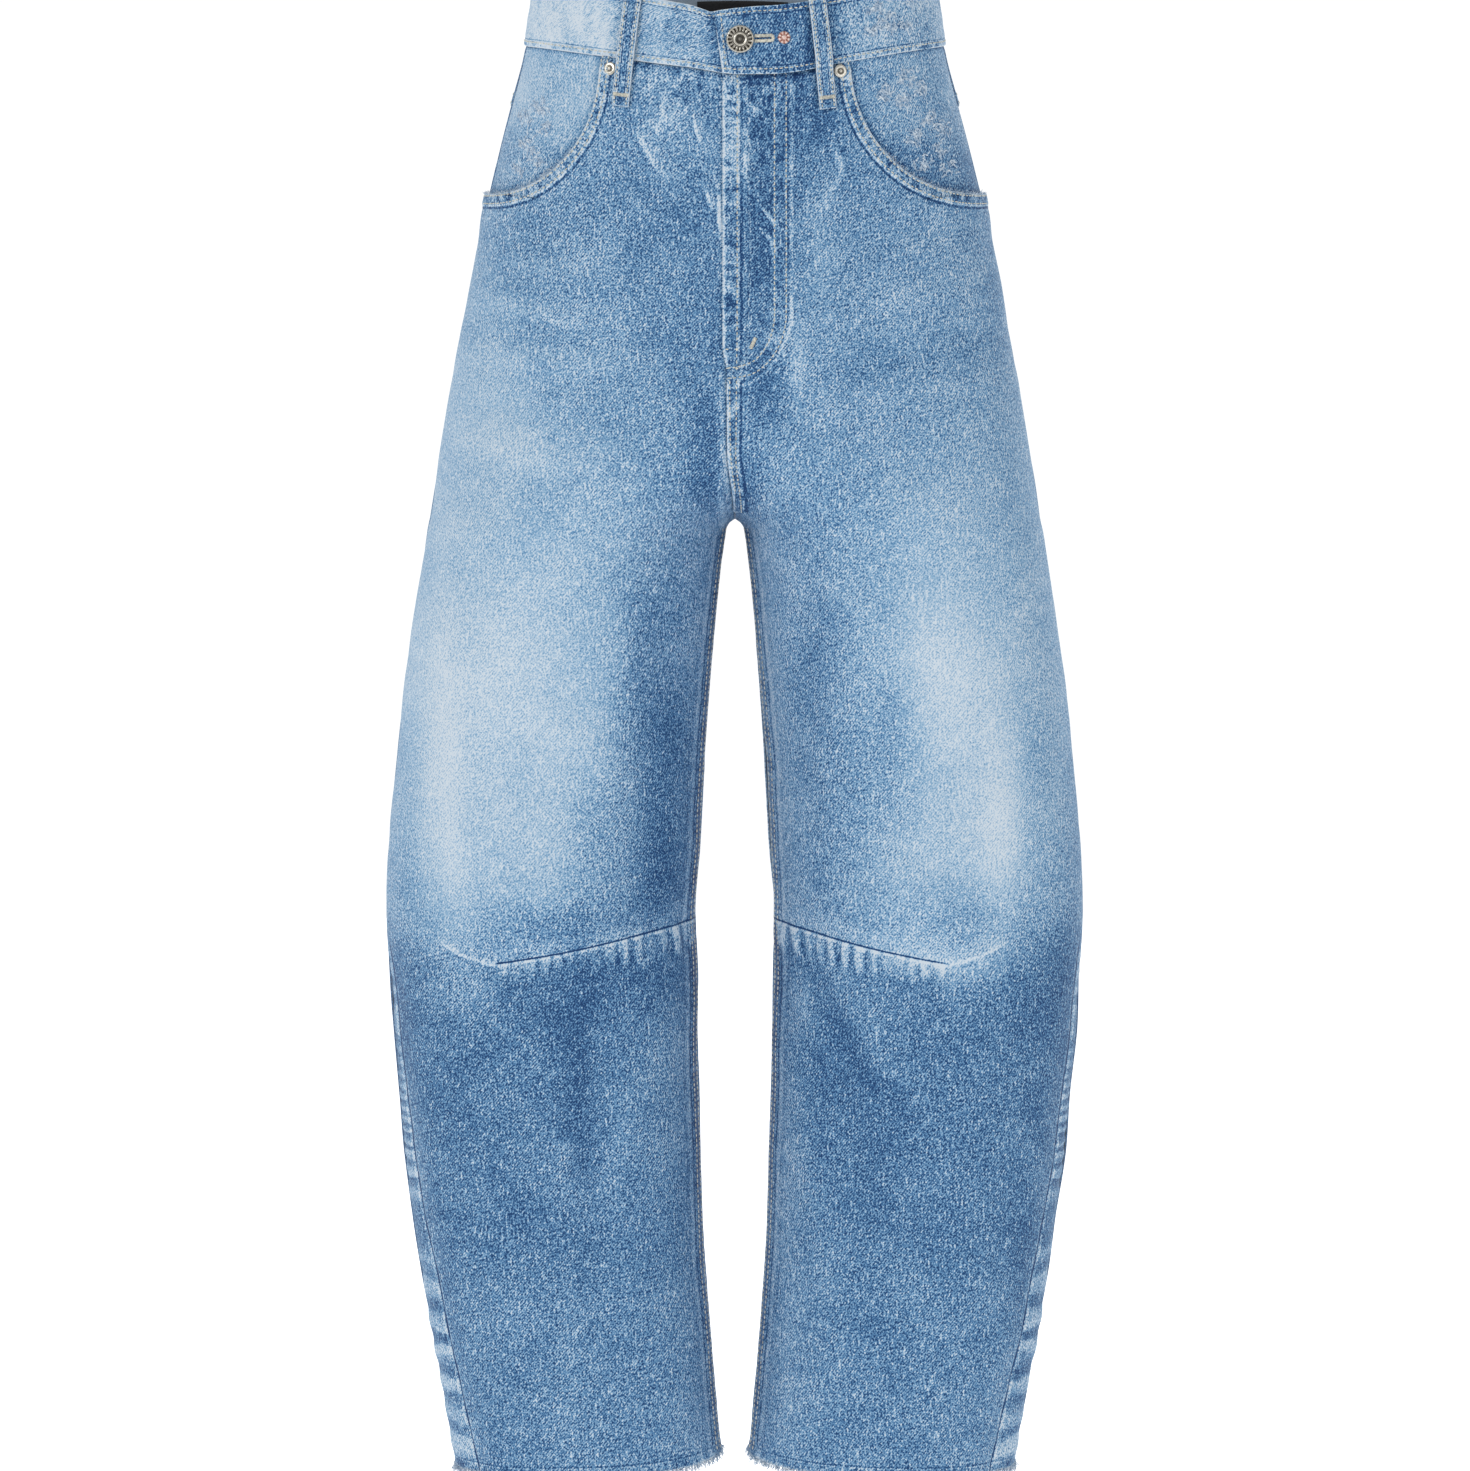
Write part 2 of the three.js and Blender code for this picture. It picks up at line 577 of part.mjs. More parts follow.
function beltLoop(loop) {
  const [rows, columns] = [10, 4];
  return wall(rows, columns, (i, j) => {
    const s = i / (rows - 1);
    const drop = lerp(LOOP.top, LOOP.bottom, s);
    const middle = lerp(loop.topX, loop.bottomX, s);
    const x = middle + lerp(-LOOP.half, LOOP.half, j / (columns - 1));
    const seatDrop = Math.max(drop, 0);
    const share = Math.sign(x) * shareAt(Math.abs(x), seatDrop);
    const seats = [-LOOP.half, 0, LOOP.half].map((across) => loopSeat(loop, middle + across, seatDrop));
    const arch = LOOP.arch * Math.sin(Math.PI * s) ** LOOP.archShape;
    const under = Math.max(...seats) + SEAM_GAP + arch;
    const faces = [under + LOOP.thick, under].map((out) =>
      place(loop.side, loop.half, share, seatDrop, out),
    );
    for (const face of faces) face.z += seatDrop - drop;
    return faces;
  });
}

// A turned metal piece from its profile: pairs of radius and height above its seat.
function turned(profile, segments) {
  const points = profile.map(([radius, height]) => new THREE.Vector2(radius, height));
  return facingOut(joined(new THREE.LatheGeometry(points, segments)));
}

// Stands a turned piece on the cloth: its axis looks out along the surface.
function stand(name, geometry, material, side, x, drop, out) {
  const mesh = add(name, geometry, material);
  const share = shareAt(x, drop);
  const seat = place(side, "front", share, drop, out);
  const axis = outward("front", share, drop);
  axis.x *= side;
  mesh.quaternion.setFromUnitVectors(new THREE.Vector3(0, 1, 0), axis);
  mesh.position.copy(seat);
}

// The shank button: a domed cap with a rolled rim round a sunk ring, on a stem.
const BUTTON_PROFILE = [
  [0, 0.3],
  [BUTTON.stem, 0.3],
  [BUTTON.stem, 3.3],
  [6.4, 3.4],
  [8.3, 3.9],
  [8.9, 4.7],
  [8.6, 5.5],
  [7.6, 5.9],
  [6.8, 5.3],
  [5.0, 5.1],
  [4.3, 5.9],
  [3.5, 6.2],
  [2.7, 5.7],
  [0, 5.5],
];

// A pocket rivet: a low dome with a raised nipple, and the copper tack beside the buttonhole.
const RIVET = { drop: 47.5, rightX: 79.6, leftX: 68 };
const RIVET_PROFILE = [
  [0, 0],
  [4.2, 0],
  [4.2, 0.6],
  [3.6, 1.2],
  [2.2, 1.4],
  [1.7, 1.1],
  [1.3, 1.2],
  [1.0, 2.0],
  [0, 2.2],
];
const TACK = { x: 32, drop: 18 };
const TACK_PROFILE = [
  [0, 0],
  [3.9, 0],
  [4.0, 0.7],
  [3.0, 1.5],
  [1.6, 1.3],
  [0, 1.7],
];

// The plain black tape inside the back of the waist.
const TAPE = { middle: 5, half: 30, top: 23, height: 25, thick: 1 };

function backTape() {
  const [rows, columns] = [3, 9];
  return wall(rows, columns, (i, j) => {
    const x = TAPE.middle + lerp(-TAPE.half, TAPE.half, j / (columns - 1));
    const drop = TAPE.top + (TAPE.height * i) / (rows - 1);
    const share = Math.sign(x) * shareAt(Math.abs(x), drop);
    const near = -BAND_IN - SEAM_GAP;
    return [near, near - TAPE.thick].map((out) => place(1, "back", share, drop, out));
  });
}

for (const [side, word] of [
  [-1, "right"],
  [1, "left"],
]) {
  add(`front_${word}`, frontPanel(side), DENIM);
  add(`hip_${word}`, hipPanel(side), PALE_DENIM);
  add(`yoke_${word}`, yoke(side), DENIM);
  add(`back_${word}`, backPanel(side), DENIM);
  add(`back_pocket_${word}`, backPocket(side), DEEP_DENIM);
}
add("waistband", waistband(), PALE_DENIM);
for (const loop of LOOPS) add(loop.name, beltLoop(loop), PALE_DENIM);
add("back_tape", backTape(), BLACK_TAPE);

const pocketOut = LAYER + SEAM_GAP;
const tackOut = BAND_LIFT + BAND_OUT + SEAM_GAP;
stand("waist_button", turned(BUTTON_PROFILE, 20), STEEL, 1, BUTTON.x, BUTTON.drop, BAND_OUT);
stand("rivet_right", turned(RIVET_PROFILE, 12), STEEL, -1, RIVET.rightX, RIVET.drop, pocketOut);
stand("rivet_left", turned(RIVET_PROFILE, 12), STEEL, 1, RIVET.leftX, RIVET.drop, pocketOut);
stand("copper_tack", turned(TACK_PROFILE, 12), COPPER, 1, TACK.x, TACK.drop, tackOut);

export default jeans;
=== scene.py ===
import math
from collections import namedtuple

import bmesh
import bpy
import numpy as np
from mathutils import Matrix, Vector


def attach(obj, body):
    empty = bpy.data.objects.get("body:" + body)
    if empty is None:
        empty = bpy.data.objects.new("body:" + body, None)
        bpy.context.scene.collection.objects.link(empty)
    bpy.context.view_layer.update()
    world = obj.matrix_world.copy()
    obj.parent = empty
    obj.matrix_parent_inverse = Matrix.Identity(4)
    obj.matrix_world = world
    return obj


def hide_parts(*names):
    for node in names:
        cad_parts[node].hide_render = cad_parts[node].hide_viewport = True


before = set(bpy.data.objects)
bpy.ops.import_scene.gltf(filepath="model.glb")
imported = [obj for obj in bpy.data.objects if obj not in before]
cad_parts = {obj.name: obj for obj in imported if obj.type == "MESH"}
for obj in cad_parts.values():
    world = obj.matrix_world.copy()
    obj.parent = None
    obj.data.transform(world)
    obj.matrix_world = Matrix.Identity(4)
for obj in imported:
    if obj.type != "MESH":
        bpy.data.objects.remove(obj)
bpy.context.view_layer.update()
print("frame loaded:", len(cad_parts), "nodes")

# Sizes are in millimetres, as a pattern gives them, and mm turns them to metres when a mesh is made.
# A place on the cloth is given by its half (front or back), a share round that half (0 at the centre
# or inner leg seam, 1 at the outer seam) and its drop, the distance down from the waist.
# side is 1 on the wearer's left and -1 on the right.
mm = 0.001


# A table's rows, with their columns named.
def named(columns, rows):
    row = namedtuple("Row", columns)
    return [row(*values) for values in rows]


cloth = {"thick": 1.2, "gap": 0.3, "roundness": 2.25}
layer = cloth["thick"] + cloth["gap"]
halfGap = cloth["gap"] / 2
waist = {"height": 40, "frontDip": 17, "backRise": 14, "levelBy": 320, "dipShape": 1.2}
leg = {"crotch": 346, "hem": 952.5, "fallFrom": 650, "outerFall": 9.5, "middleFall": 5,
       "innerStretch": 1.6, "round": 260, "hipRound": 210}

# How far the garment reaches at each level. An inner edge below zero lies past the middle plane.
levels = named("drop outer inner front back", (
    (0, 129, -129, 91, 90),
    (40, 135.4, -135.4, 94, 97),
    (107, 152.4, -150, 99, 111),
    (146, 161.8, -156, 102, 120),
    (205, 173.9, -148, 105, 129),
    (262, 184, -112, 105, 130),
    (300, 190.3, -68, 104, 124),
    (326, 194.7, -28, 103, 117),
    (340, 197, -7, 102, 113),
    (346, 198, 0, 101.5, 111.5),
    (350, 199, 5.2, 101, 110.5),
    (367, 201.5, 8, 100, 106.5),
    (419, 209.6, 13.3, 98, 98),
    (497, 219.4, 19.2, 95, 91),
    (549, 224.3, 22.4, 93, 88),
    (601, 226.2, 25.4, 90, 85),
    (653, 224.6, 24.4, 86, 83),
    (705, 221, 24, 83, 81),
    (757, 216, 22.4, 80, 79),
    (809, 209.2, 20.8, 77, 77),
    (861, 200.8, 17.2, 74, 75),
    (913, 191.8, 13, 71, 73),
    (965, 182.2, 8.3, 69, 71),
))


def smooth(value):
    v = np.clip(value, 0, 1)
    return v * v * (3 - 2 * v)


def lerp(a, b, share):
    return a + (b - a) * share


def bell(away):
    return np.exp(-away * away)


def signedPower(value, power):
    return np.sign(value) * np.abs(value) ** power


# Even steps from low to high, each about as long as size.
def stepsTo(low, high, size):
    return np.linspace(low, high, max(2, int(round(abs(high - low) / size)) + 1))


# A smooth curve through one column of the levels that never swings past them.
def curveThrough(column):
    x = np.array([row.drop for row in levels], float)
    y = np.array([getattr(row, column) for row in levels], float)
    slope = np.diff(y) / np.diff(x)
    before, after = slope[:-1], slope[1:]
    same = before * after > 0
    middle = np.where(same, 2 * before * after / np.where(same, before + after, 1), 0)
    tangent = np.concatenate([slope[:1], middle, slope[-1:]])

    def at(drop):
        v = np.clip(drop, x[0], x[-1])
        i = np.clip(np.searchsorted(x, v, side="right") - 1, 0, len(x) - 2)
        span = x[i + 1] - x[i]
        s = (v - x[i]) / span
        rise = tangent[i] * s * (1 - s) ** 2 - tangent[i + 1] * s * s * (1 - s)
        return lerp(y[i], y[i + 1], s * s * (3 - 2 * s)) + span * rise

    return at


level = {column: curveThrough(column) for column in ("outer", "inner", "front", "back")}


# One level's oval: its outer edge, its middle, its reach to the side and the angle where it ends.
def oval(drop):
    outer, inner = level["outer"](drop), level["inner"](drop)
    middle, reach = (outer + inner) / 2, (outer - inner) / 2
    turn = np.clip(-signedPower(middle / reach, cloth["roundness"] / 2), -1, 1)
    return outer, middle, reach, np.where(inner >= 0, np.pi, np.arccos(turn))


# The waist edge dips at the centre front and rises at the centre back, less and less lower down.
def waistLine(half, across, drop):
    fade = 1 - smooth((drop - waist["height"]) / (waist["levelBy"] - waist["height"]))
    if half == "front":
        return -waist["frontDip"] * fade * (1 - across ** waist["dipShape"])
    return waist["backRise"] * fade * (1 - across * across)


def surface(half, share, drop):
    outer, middle, reach, end = oval(drop)
    angle = end * (1 - share)
    x = middle + reach * signedPower(np.cos(angle), 2 / cloth["roundness"])
    depth = level[half](drop) * signedPower(np.sin(angle), 2 / cloth["roundness"])
    z = -drop + waistLine(half, np.clip(np.abs(x) / outer, 0, 1), drop)
    return np.stack([x, -depth if half == "front" else depth, z], axis=-1)


def outward(half, share, drop):
    along = surface(half, share + 0.002, drop) - surface(half, share - 0.002, drop)
    down = surface(half, share, drop + 0.4) - surface(half, share, drop - 0.4)
    normal = np.cross(down, along) if half == "front" else np.cross(along, down)
    return normal / np.linalg.norm(normal, axis=-1, keepdims=True)


# A place on the cloth and the way out there. A share below zero laps over the middle plane.
def place(side, half, share, drop, out=0.0):
    share, drop, out = np.broadcast_arrays(np.asarray(share, float), drop, out)
    size = np.abs(share)
    way = outward(half, size, drop)
    point = surface(half, size, drop) + way * out[..., None]
    closed = (level["inner"](drop) < 0) & (share >= 0)
    point[..., 0] = np.where(closed, np.maximum(point[..., 0], 0.02), point[..., 0])
    if half == "front":
        point[..., 1] = np.minimum(point[..., 1], 0)
    else:
        point[..., 1] = np.maximum(point[..., 1], 0)
    turn = np.where(share < 0, -side, side)
    point[..., 0] *= turn
    way[..., 0] *= turn
    return point, way


def shareAt(x, drop):
    outer, middle, reach, end = oval(drop)
    c = np.clip((x - middle) / reach, -1, 1)
    return 1 - np.arccos(np.clip(signedPower(c, cloth["roundness"] / 2), -1, 1)) / end


def signedShare(x, drop):
    return np.sign(x) * shareAt(np.abs(x), drop)


def distanceOut(share, drop):
    return np.abs(surface("front", np.abs(share), drop)[..., 0])


# The share at a distance round the cloth from the centre of the back.
def shareRound(distance, drop):
    shares = np.linspace(0, 1, 61)
    points = surface("back", shares, np.asarray(drop)[..., None])
    walked = np.cumsum(np.linalg.norm(np.diff(points, axis=-2), axis=-1), axis=-1)
    walked = np.concatenate([np.zeros(walked.shape[:-1] + (1,)), walked], axis=-1)
    flat = [np.interp(d, w, shares) for d, w in zip(np.ravel(distance), walked.reshape(-1, 61))]
    return np.array(flat).reshape(np.shape(distance))


# Soft random unevenness, the same each run, from -1 to 1.
def mottle(u, v, size, seed):
    grid = np.random.default_rng(seed).random((61, 67)) * 2 - 1
    u, v = np.asarray(u) / size, np.asarray(v) / size
    i, j = np.floor(u).astype(int), np.floor(v).astype(int)
    su, sv = smooth(u - i), smooth(v - j)

    def corner(a, b):
        return grid[(i + a) % 61, (j + b) % 67]

    return lerp(lerp(corner(0, 0), corner(1, 0), su), lerp(corner(0, 1), corner(1, 1), su), sv)


# The knee dart, from the inner leg seam to a part of the way across the leg, which differs a little
# between the legs, the dart up the outer shin, and the hem's fall.
knee = {"drop": 604, "fall": 24, "rise": 13, "reach": 150, "across": 0.6,
        "tipAcross": {-1: 0.645, 1: 0.56}, "groove": 3.2, "half": 9, "tip": 0.1, "gather": 8.6}
shin = {"top": 612, "topShare": 0.93, "hemShare": 0.8, "fadeIn": 60, "groove": 2.4, "half": 8}


def acrossLeg(share):
    return (1 + signedPower(np.cos(np.pi * (1 - share)), 2 / cloth["roundness"])) / 2


def kneeFall(share):
    across = acrossLeg(share)
    s = np.clip(across / knee["across"], 0, 1)
    past = np.clip((across - knee["across"]) / (1 - knee["across"]), 0, 1)
    return knee["fall"] * (1 - (1 - s) ** 1.1) - knee["rise"] * past


# The same for one leg's own dart, with a worn crease that turns up beyond its point.
def kneeSeam(side, share):
    across = acrossLeg(share)
    tip = knee["tipAcross"][side]
    s = np.clip(across / tip, 0, 1)
    past = np.clip((across - tip) / 0.18, 0, 2)
    return knee["drop"] + knee["fall"] * (1 - (1 - s) ** 1.12) - 14 * past**1.5


def rowDrop(half, share, drop):
    at = drop
    if half == "front":
        at = at + kneeFall(share) * (1 - smooth(np.abs(drop - knee["drop"]) / knee["reach"]))
    low = np.clip((drop - leg["fallFrom"]) / (leg["hem"] - leg["fallFrom"]), 0, 1) ** 2
    return at + low * (leg["outerFall"] * share + leg["middleFall"] * 4 * share * (1 - share))


def shinShare(drop):
    return lerp(shin["topShare"], shin["hemShare"], (drop - shin["top"]) / (leg["hem"] - shin["top"]))


# A fold runs from one place to another, given by its distance from the middle plane and its drop.
# It has a half-width and a height outwards, which is below zero for a trough.
largeFolds = named("side half x1 d1 x2 d2 width height", (
    (-1, "front", 88, 655, 88, 850, 20, -5),
    (-1, "front", 140, 560, 110, 600, 34, 5),
    (-1, "front", 62, 120, 52, 300, 22, -3),
    (-1, "front", 40, 420, 60, 590, 20, -3),
    (1, "front", 44, 640, 92, 780, 18, -4),
    (1, "front", 125, 560, 100, 600, 34, 5),
    (1, "front", 48, 400, 36, 540, 18, -3),
    (1, "front", 150, 680, 140, 850, 24, 3),
    (-1, "back", 20, 330, 150, 372, 20, -5),
    (1, "back", 20, 330, 150, 380, 20, -5),
    (-1, "back", 60, 585, 170, 600, 18, -5),
    (1, "back", 55, 600, 175, 585, 18, -5),
    (-1, "back", 110, 640, 100, 860, 22, -4),
    (1, "back", 100, 640, 95, 860, 22, -4),
))

# The finer creases, worn pale along their ridges. The last column bows a crease to one side.
creases = named("side half x1 d1 x2 d2 width height bow", (
    (-1, "front", 10, 118, 8, 158, 3.2, 1.5, 1),
    (-1, "front", 19, 108, 13, 136, 3.0, 1.0, 2),
    (-1, "front", 26, 68, 20, 92, 2.6, 1.0, 2),
    (-1, "front", 34, 62, 40, 84, 3.0, 1.1, 2),
    (-1, "front", 46, 60, 50, 88, 3.2, 1.0, -2),
    (-1, "front", 62, 84, 40, 118, 4.0, 0.9, 3),
    (-1, "front", 74, 116, 52, 142, 5.0, 0.8, 3),
    (-1, "front", 66, 60, 74, 78, 3.0, 0.8, 0),
    (-1, "front", 18, 150, 42, 196, 7.0, 0.8, 4),
    (-1, "front", 22, 212, 6, 280, 5.0, 0.9, 3),
    (-1, "front", 8, 290, 4, 330, 3.4, 1.2, 0),
    (-1, "front", 30, 300, 8, 350, 8.0, -0.9, 4),
    (-1, "front", 150, 172, 84, 186, 7.0, 0.8, 4),
    (-1, "front", 162, 200, 70, 214, 8.0, 0.9, 5),
    (-1, "front", 168, 232, 60, 242, 8.0, 0.8, 5),
    (-1, "front", 176, 268, 50, 280, 9.0, -0.5, 5),
    (-1, "front", 178, 292, 70, 306, 9.0, 0.7, 5),
    (-1, "front", 70, 520, 120, 470, 12, 0.9, 6),
    (-1, "front", 44, 470, 30, 560, 9, 0.8, 4),
    (-1, "front", 60, 700, 78, 800, 10, 1.1, 5),
    (-1, "front", 120, 690, 98, 800, 11, 1.0, 5),
    (1, "front", 8, 74, 10, 126, 2.8, 1.7, -2),
    (1, "front", 14, 118, 27, 146, 2.6, 1.5, -3),
    (1, "front", 6, 60, 18, 72, 3.0, 1.0, 0),
    (1, "front", 20, 150, 26, 168, 3.0, 1.0, 1),
    (1, "front", 12, 212, 26, 226, 4.0, 0.9, 1),
    (1, "front", 40, 232, 38, 262, 4.5, 1.1, 1),
    (1, "front", 46, 66, 42, 96, 3.0, 0.8, 2),
    (1, "front", 60, 92, 68, 118, 4.0, 0.9, 2),
    (1, "front", 70, 110, 46, 140, 4.0, 0.7, 2),
    (1, "front", 84, 152, 132, 140, 7.0, 0.9, 4),
    (1, "front", 78, 182, 150, 168, 8.0, 1.0, 5),
    (1, "front", 66, 210, 158, 198, 8.0, 0.9, 5),
    (1, "front", 60, 244, 166, 228, 9.0, -0.5, 5),
    (1, "front", 62, 268, 172, 254, 9.0, 0.7, 5),
    (1, "front", 12, 356, 40, 390, 6.0, 0.9, 3),
    (1, "front", 60, 380, 90, 420, 9.0, 0.7, 4),
    (1, "front", 30, 470, 66, 520, 9, 0.9, 4),
    (1, "front", 32, 630, 70, 700, 7, 1.2, -4),
    (1, "front", 52, 632, 92, 712, 7, -1.1, -4),
    (1, "front", 70, 640, 118, 716, 8, 1.0, -4),
    (1, "front", 40, 720, 58, 850, 10, 0.9, 4),
    (-1, "back", 30, 352, 150, 396, 8, 1.3, 6),
    (-1, "back", 24, 380, 128, 420, 8, -1.1, 6),
    (-1, "back", 40, 566, 150, 578, 8, 1.4, -5),
    (-1, "back", 48, 616, 160, 628, 8, 1.3, 5),
    (-1, "back", 70, 640, 178, 652, 9, -1.0, 5),
    (-1, "back", 14, 290, 60, 330, 8, 1.0, 5),
    (1, "back", 30, 356, 146, 404, 8, 1.3, 6),
    (1, "back", 26, 386, 120, 430, 8, -1.1, 6),
    (1, "back", 36, 580, 158, 564, 8, 1.4, 5),
    (1, "back", 44, 628, 170, 612, 8, 1.3, -5),
    (1, "back", 62, 654, 176, 640, 9, -1.0, 5),
    (1, "back", 12, 294, 64, 336, 8, 1.0, 5),
))

# Washed places and painted shade: a soft oval, its middle, its reaches across and down, its lean in
# degrees, how pale. Some darker ovals are painted shade: at the crotch, on the inner thigh, above the knee
# dart and in a fold down the right shin.
washesAndShade = named("side half x drop across down lean pale", (
    (-1, "front", 168, 215, 34, 90, 0, 0.13),
    (-1, "front", 156, 276, 42, 30, 0, 0.14),
    # painted shade on the inner thigh
    (-1, "front", 44, 565, 20, 50, 0, -0.22),
    (-1, "front", 108, 618, 34, 14, 0, -0.18),
    # painted shade in a fold down the right shin
    (-1, "front", 108, 710, 18, 90, 0, -0.08),
    (-1, "front", 42, 700, 14, 60, 0, 0.08),
    (-1, "front", 196, 500, 16, 130, 0, 0.07),
    # painted shade just above the knee dart
    (-1, "front", 104, 600, 56, 13, 0, -0.14),
    (-1, "front", 172, 628, 40, 16, 0, -0.14),
    # painted shade in the groove at the crotch seam
    (1, "front", 2, 330, 14, 30, 0, -0.34),
    (-1, "front", 14, 310, 18, 44, 0, -0.17),
    (-1, "front", 60, 445, 13, 60, 0, -0.14),
    (-1, "front", 60, 522, 12, 42, 0, 0.12),
    (-1, "front", 41, 486, 9, 24, 0, -0.10),
    (-1, "front", 142, 490, 24, 110, 0, -0.06),
    (-1, "front", 82, 152, 10, 50, 0, 0.09),
    (1, "front", 55, 166, 11, 56, 0, 0.15),
    (1, "front", 27, 126, 18, 15, 0, -0.14),
    (1, "front", 30, 44, 30, 9, 0, -0.14),
    (1, "front", 108, 120, 20, 22, 0, -0.10),
    (1, "front", 112, 500, 40, 90, 0, -0.05),
    (1, "front", 186, 850, 9, 50, 0, -0.14),
    (1, "front", 52, 310, 20, 60, 0, 0.05),
    (1, "front", 8, 48, 16, 10, 0, -0.24),
    (1, "front", 40, 535, 16, 56, 0, 0.14),
    (1, "front", 150, 598, 40, 22, 0, -0.12),
    (1, "front", 34, 800, 12, 160, 0, 0.15),
    # painted shade on the inner thigh
    (-1, "front", 52, 510, 24, 90, 0, -0.20),
    (-1, "front", 84, 548, 26, 46, 0, -0.13),
    # painted shade in a fold down the right shin
    (-1, "front", 98, 712, 8, 88, 0, -0.13),
    (-1, "front", 6, 290, 16, 50, 0, -0.16),
    (-1, "front", 42, 124, 40, 50, 0, -0.08),
    (-1, "front", 208, 628, 22, 26, 0, -0.05),
    (-1, "front", 26, 56, 14, 12, 0, -0.18),
    (1, "front", 38, 64, 22, 22, 0, -0.28),
    (1, "front", 62, 72, 12, 30, 0, -0.14),
    (1, "front", 100, 500, 16, 70, 0, -0.10),
    (1, "front", 186, 505, 18, 100, 0, -0.06),
    (1, "front", 22, 470, 12, 120, 0, 0.10),
    (1, "front", 186, 628, 26, 24, 0, -0.08),
    (1, "front", 118, 630, 30, 8, 0, 0.12),
    (-1, "front", 146, 470, 66, 150, 4, 0.23),
    (-1, "front", 184, 515, 12, 95, 2, 0.16),
    (-1, "front", 150, 440, 26, 46, 0, 0.08),
    (-1, "front", 140, 560, 40, 44, 0, 0.06),
    (-1, "front", 222, 560, 14, 120, 0, -0.05),
    # painted shade on the inner thigh
    (-1, "front", 34, 470, 30, 150, 0, -0.24),
    (-1, "front", 14, 250, 30, 110, 0, -0.12),
    (-1, "front", 46, 86, 40, 34, 0, 0.14),
    (-1, "front", 72, 60, 12, 20, 0, -0.16),
    (-1, "front", 18, 58, 22, 16, 0, -0.14),
    (-1, "front", 112, 178, 52, 9, 5, 0.06),
    (-1, "front", 118, 206, 56, 8, 4, 0.07),
    (-1, "front", 120, 238, 58, 9, 3, 0.05),
    (-1, "front", 116, 262, 60, 8, 4, -0.02),
    (-1, "front", 116, 300, 66, 12, 3, 0.03),
    (-1, "front", 44, 640, 60, 22, 0, -0.06),
    (-1, "front", 200, 650, 14, 40, 0, 0.03),
    (-1, "front", 56, 690, 26, 60, -16, 0.06),
    (1, "front", 146, 500, 50, 130, -4, 0.24),
    (1, "front", 170, 545, 13, 80, 0, 0.16),
    (1, "front", 124, 428, 20, 50, -8, 0.12),
    (1, "front", 100, 572, 34, 40, 0, 0.08),
    (1, "front", 200, 420, 14, 120, 0, -0.04),
    (1, "front", 222, 560, 12, 120, 0, -0.15),
    (1, "front", 208, 690, 16, 110, 0, -0.07),
    (1, "front", 84, 650, 56, 24, 0, 0.11),
    (1, "front", 82, 770, 24, 50, 0, -0.06),
    (1, "front", 44, 500, 34, 160, 0, -0.26),
    (1, "front", 52, 300, 60, 70, 0, -0.05),
    (1, "front", 17, 150, 12, 110, 0, -0.24),
    (1, "front", 16, 256, 18, 22, 0, -0.10),
    (1, "front", 46, 90, 14, 50, 0, -0.12),
    (1, "front", 40, 232, 6, 36, 0, 0.12),
    (1, "front", 118, 156, 44, 8, -8, 0.07),
    (1, "front", 122, 186, 48, 9, -7, 0.07),
    (1, "front", 118, 222, 54, 10, -6, 0.07),
    (1, "front", 116, 252, 60, 10, -5, -0.02),
    (1, "front", 150, 640, 40, 22, 0, -0.04),
    (1, "front", 60, 690, 40, 40, 0, -0.06),
    (-1, "back", 96, 262, 56, 60, 0, 0.24),
    (1, "back", 98, 266, 56, 60, 0, 0.24),
    (-1, "back", 120, 470, 70, 120, 0, 0.16),
    (1, "back", 122, 470, 70, 120, 0, 0.16),
    (-1, "back", 110, 592, 70, 16, 3, 0.10),
    (1, "back", 110, 588, 70, 16, -3, 0.10),
    (-1, "back", 112, 625, 70, 12, 3, -0.08),
    (1, "back", 112, 622, 70, 12, -3, -0.08),
    (-1, "back", 30, 420, 30, 160, 0, -0.14),
    (1, "back", 30, 420, 30, 160, 0, -0.14),
))

# How pale the cloth is at each drop, apart from those places.
paleness = {
    "front": ((40, 0.44), (100, 0.41), (150, 0.42), (230, 0.49), (330, 0.61), (430, 0.64), (560, 0.60),
              (600, 0.56), (960, 0.56)),
    "shin": ((600, 0.20), (680, 0.25), (780, 0.30), (880, 0.35), (950, 0.38)),
    "back": ((40, 0.45), (110, 0.46), (260, 0.50), (420, 0.54), (560, 0.50), (640, 0.42), (960, 0.42)),
}


def palenessAt(where, drop):
    return np.interp(drop, *zip(*paleness[where]))


# A place's share along a fold, its distance to the side of the fold's line, and from the fold itself.
def alongFold(x, drop, fold):
    dx, dd = fold.x2 - fold.x1, fold.d2 - fold.d1
    length = math.hypot(dx, dd)
    along = np.clip(((x - fold.x1) * dx + (drop - fold.d1) * dd) / length**2, 0, 1)
    across = ((x - fold.x1) * dd - (drop - fold.d1) * dx) / length
    past = np.hypot(x - fold.x1 - along * dx, drop - fold.d1 - along * dd)
    return along, across, past


# The large folds and the grooves of the darts, outwards.
def largeRelief(side, half, share, drop):
    x = distanceOut(share, drop)
    height = np.zeros(np.shape(x))
    for fold in largeFolds:
        if (fold.side, fold.half) == (side, half):
            along, across, past = alongFold(x, drop, fold)
            height += fold.height * bell(past / fold.width) * lerp(0.45, 1, np.sin(np.pi * along))
    if half == "front":
        fromKnee = (drop - kneeSeam(side, share)) / knee["half"]
        kneeEnd = 1 - smooth((acrossLeg(share) - knee["tipAcross"][side] + 0.03) / (1.5 * knee["tip"]))
        height -= knee["groove"] * bell(fromKnee) * kneeEnd * smooth((x - level["inner"](drop) - 2) / 26)
        fromShin = (x - distanceOut(shinShare(drop), drop)) / shin["half"]
        height -= shin["groove"] * bell(fromShin) * smooth((drop - shin["top"]) / shin["fadeIn"])
    return height


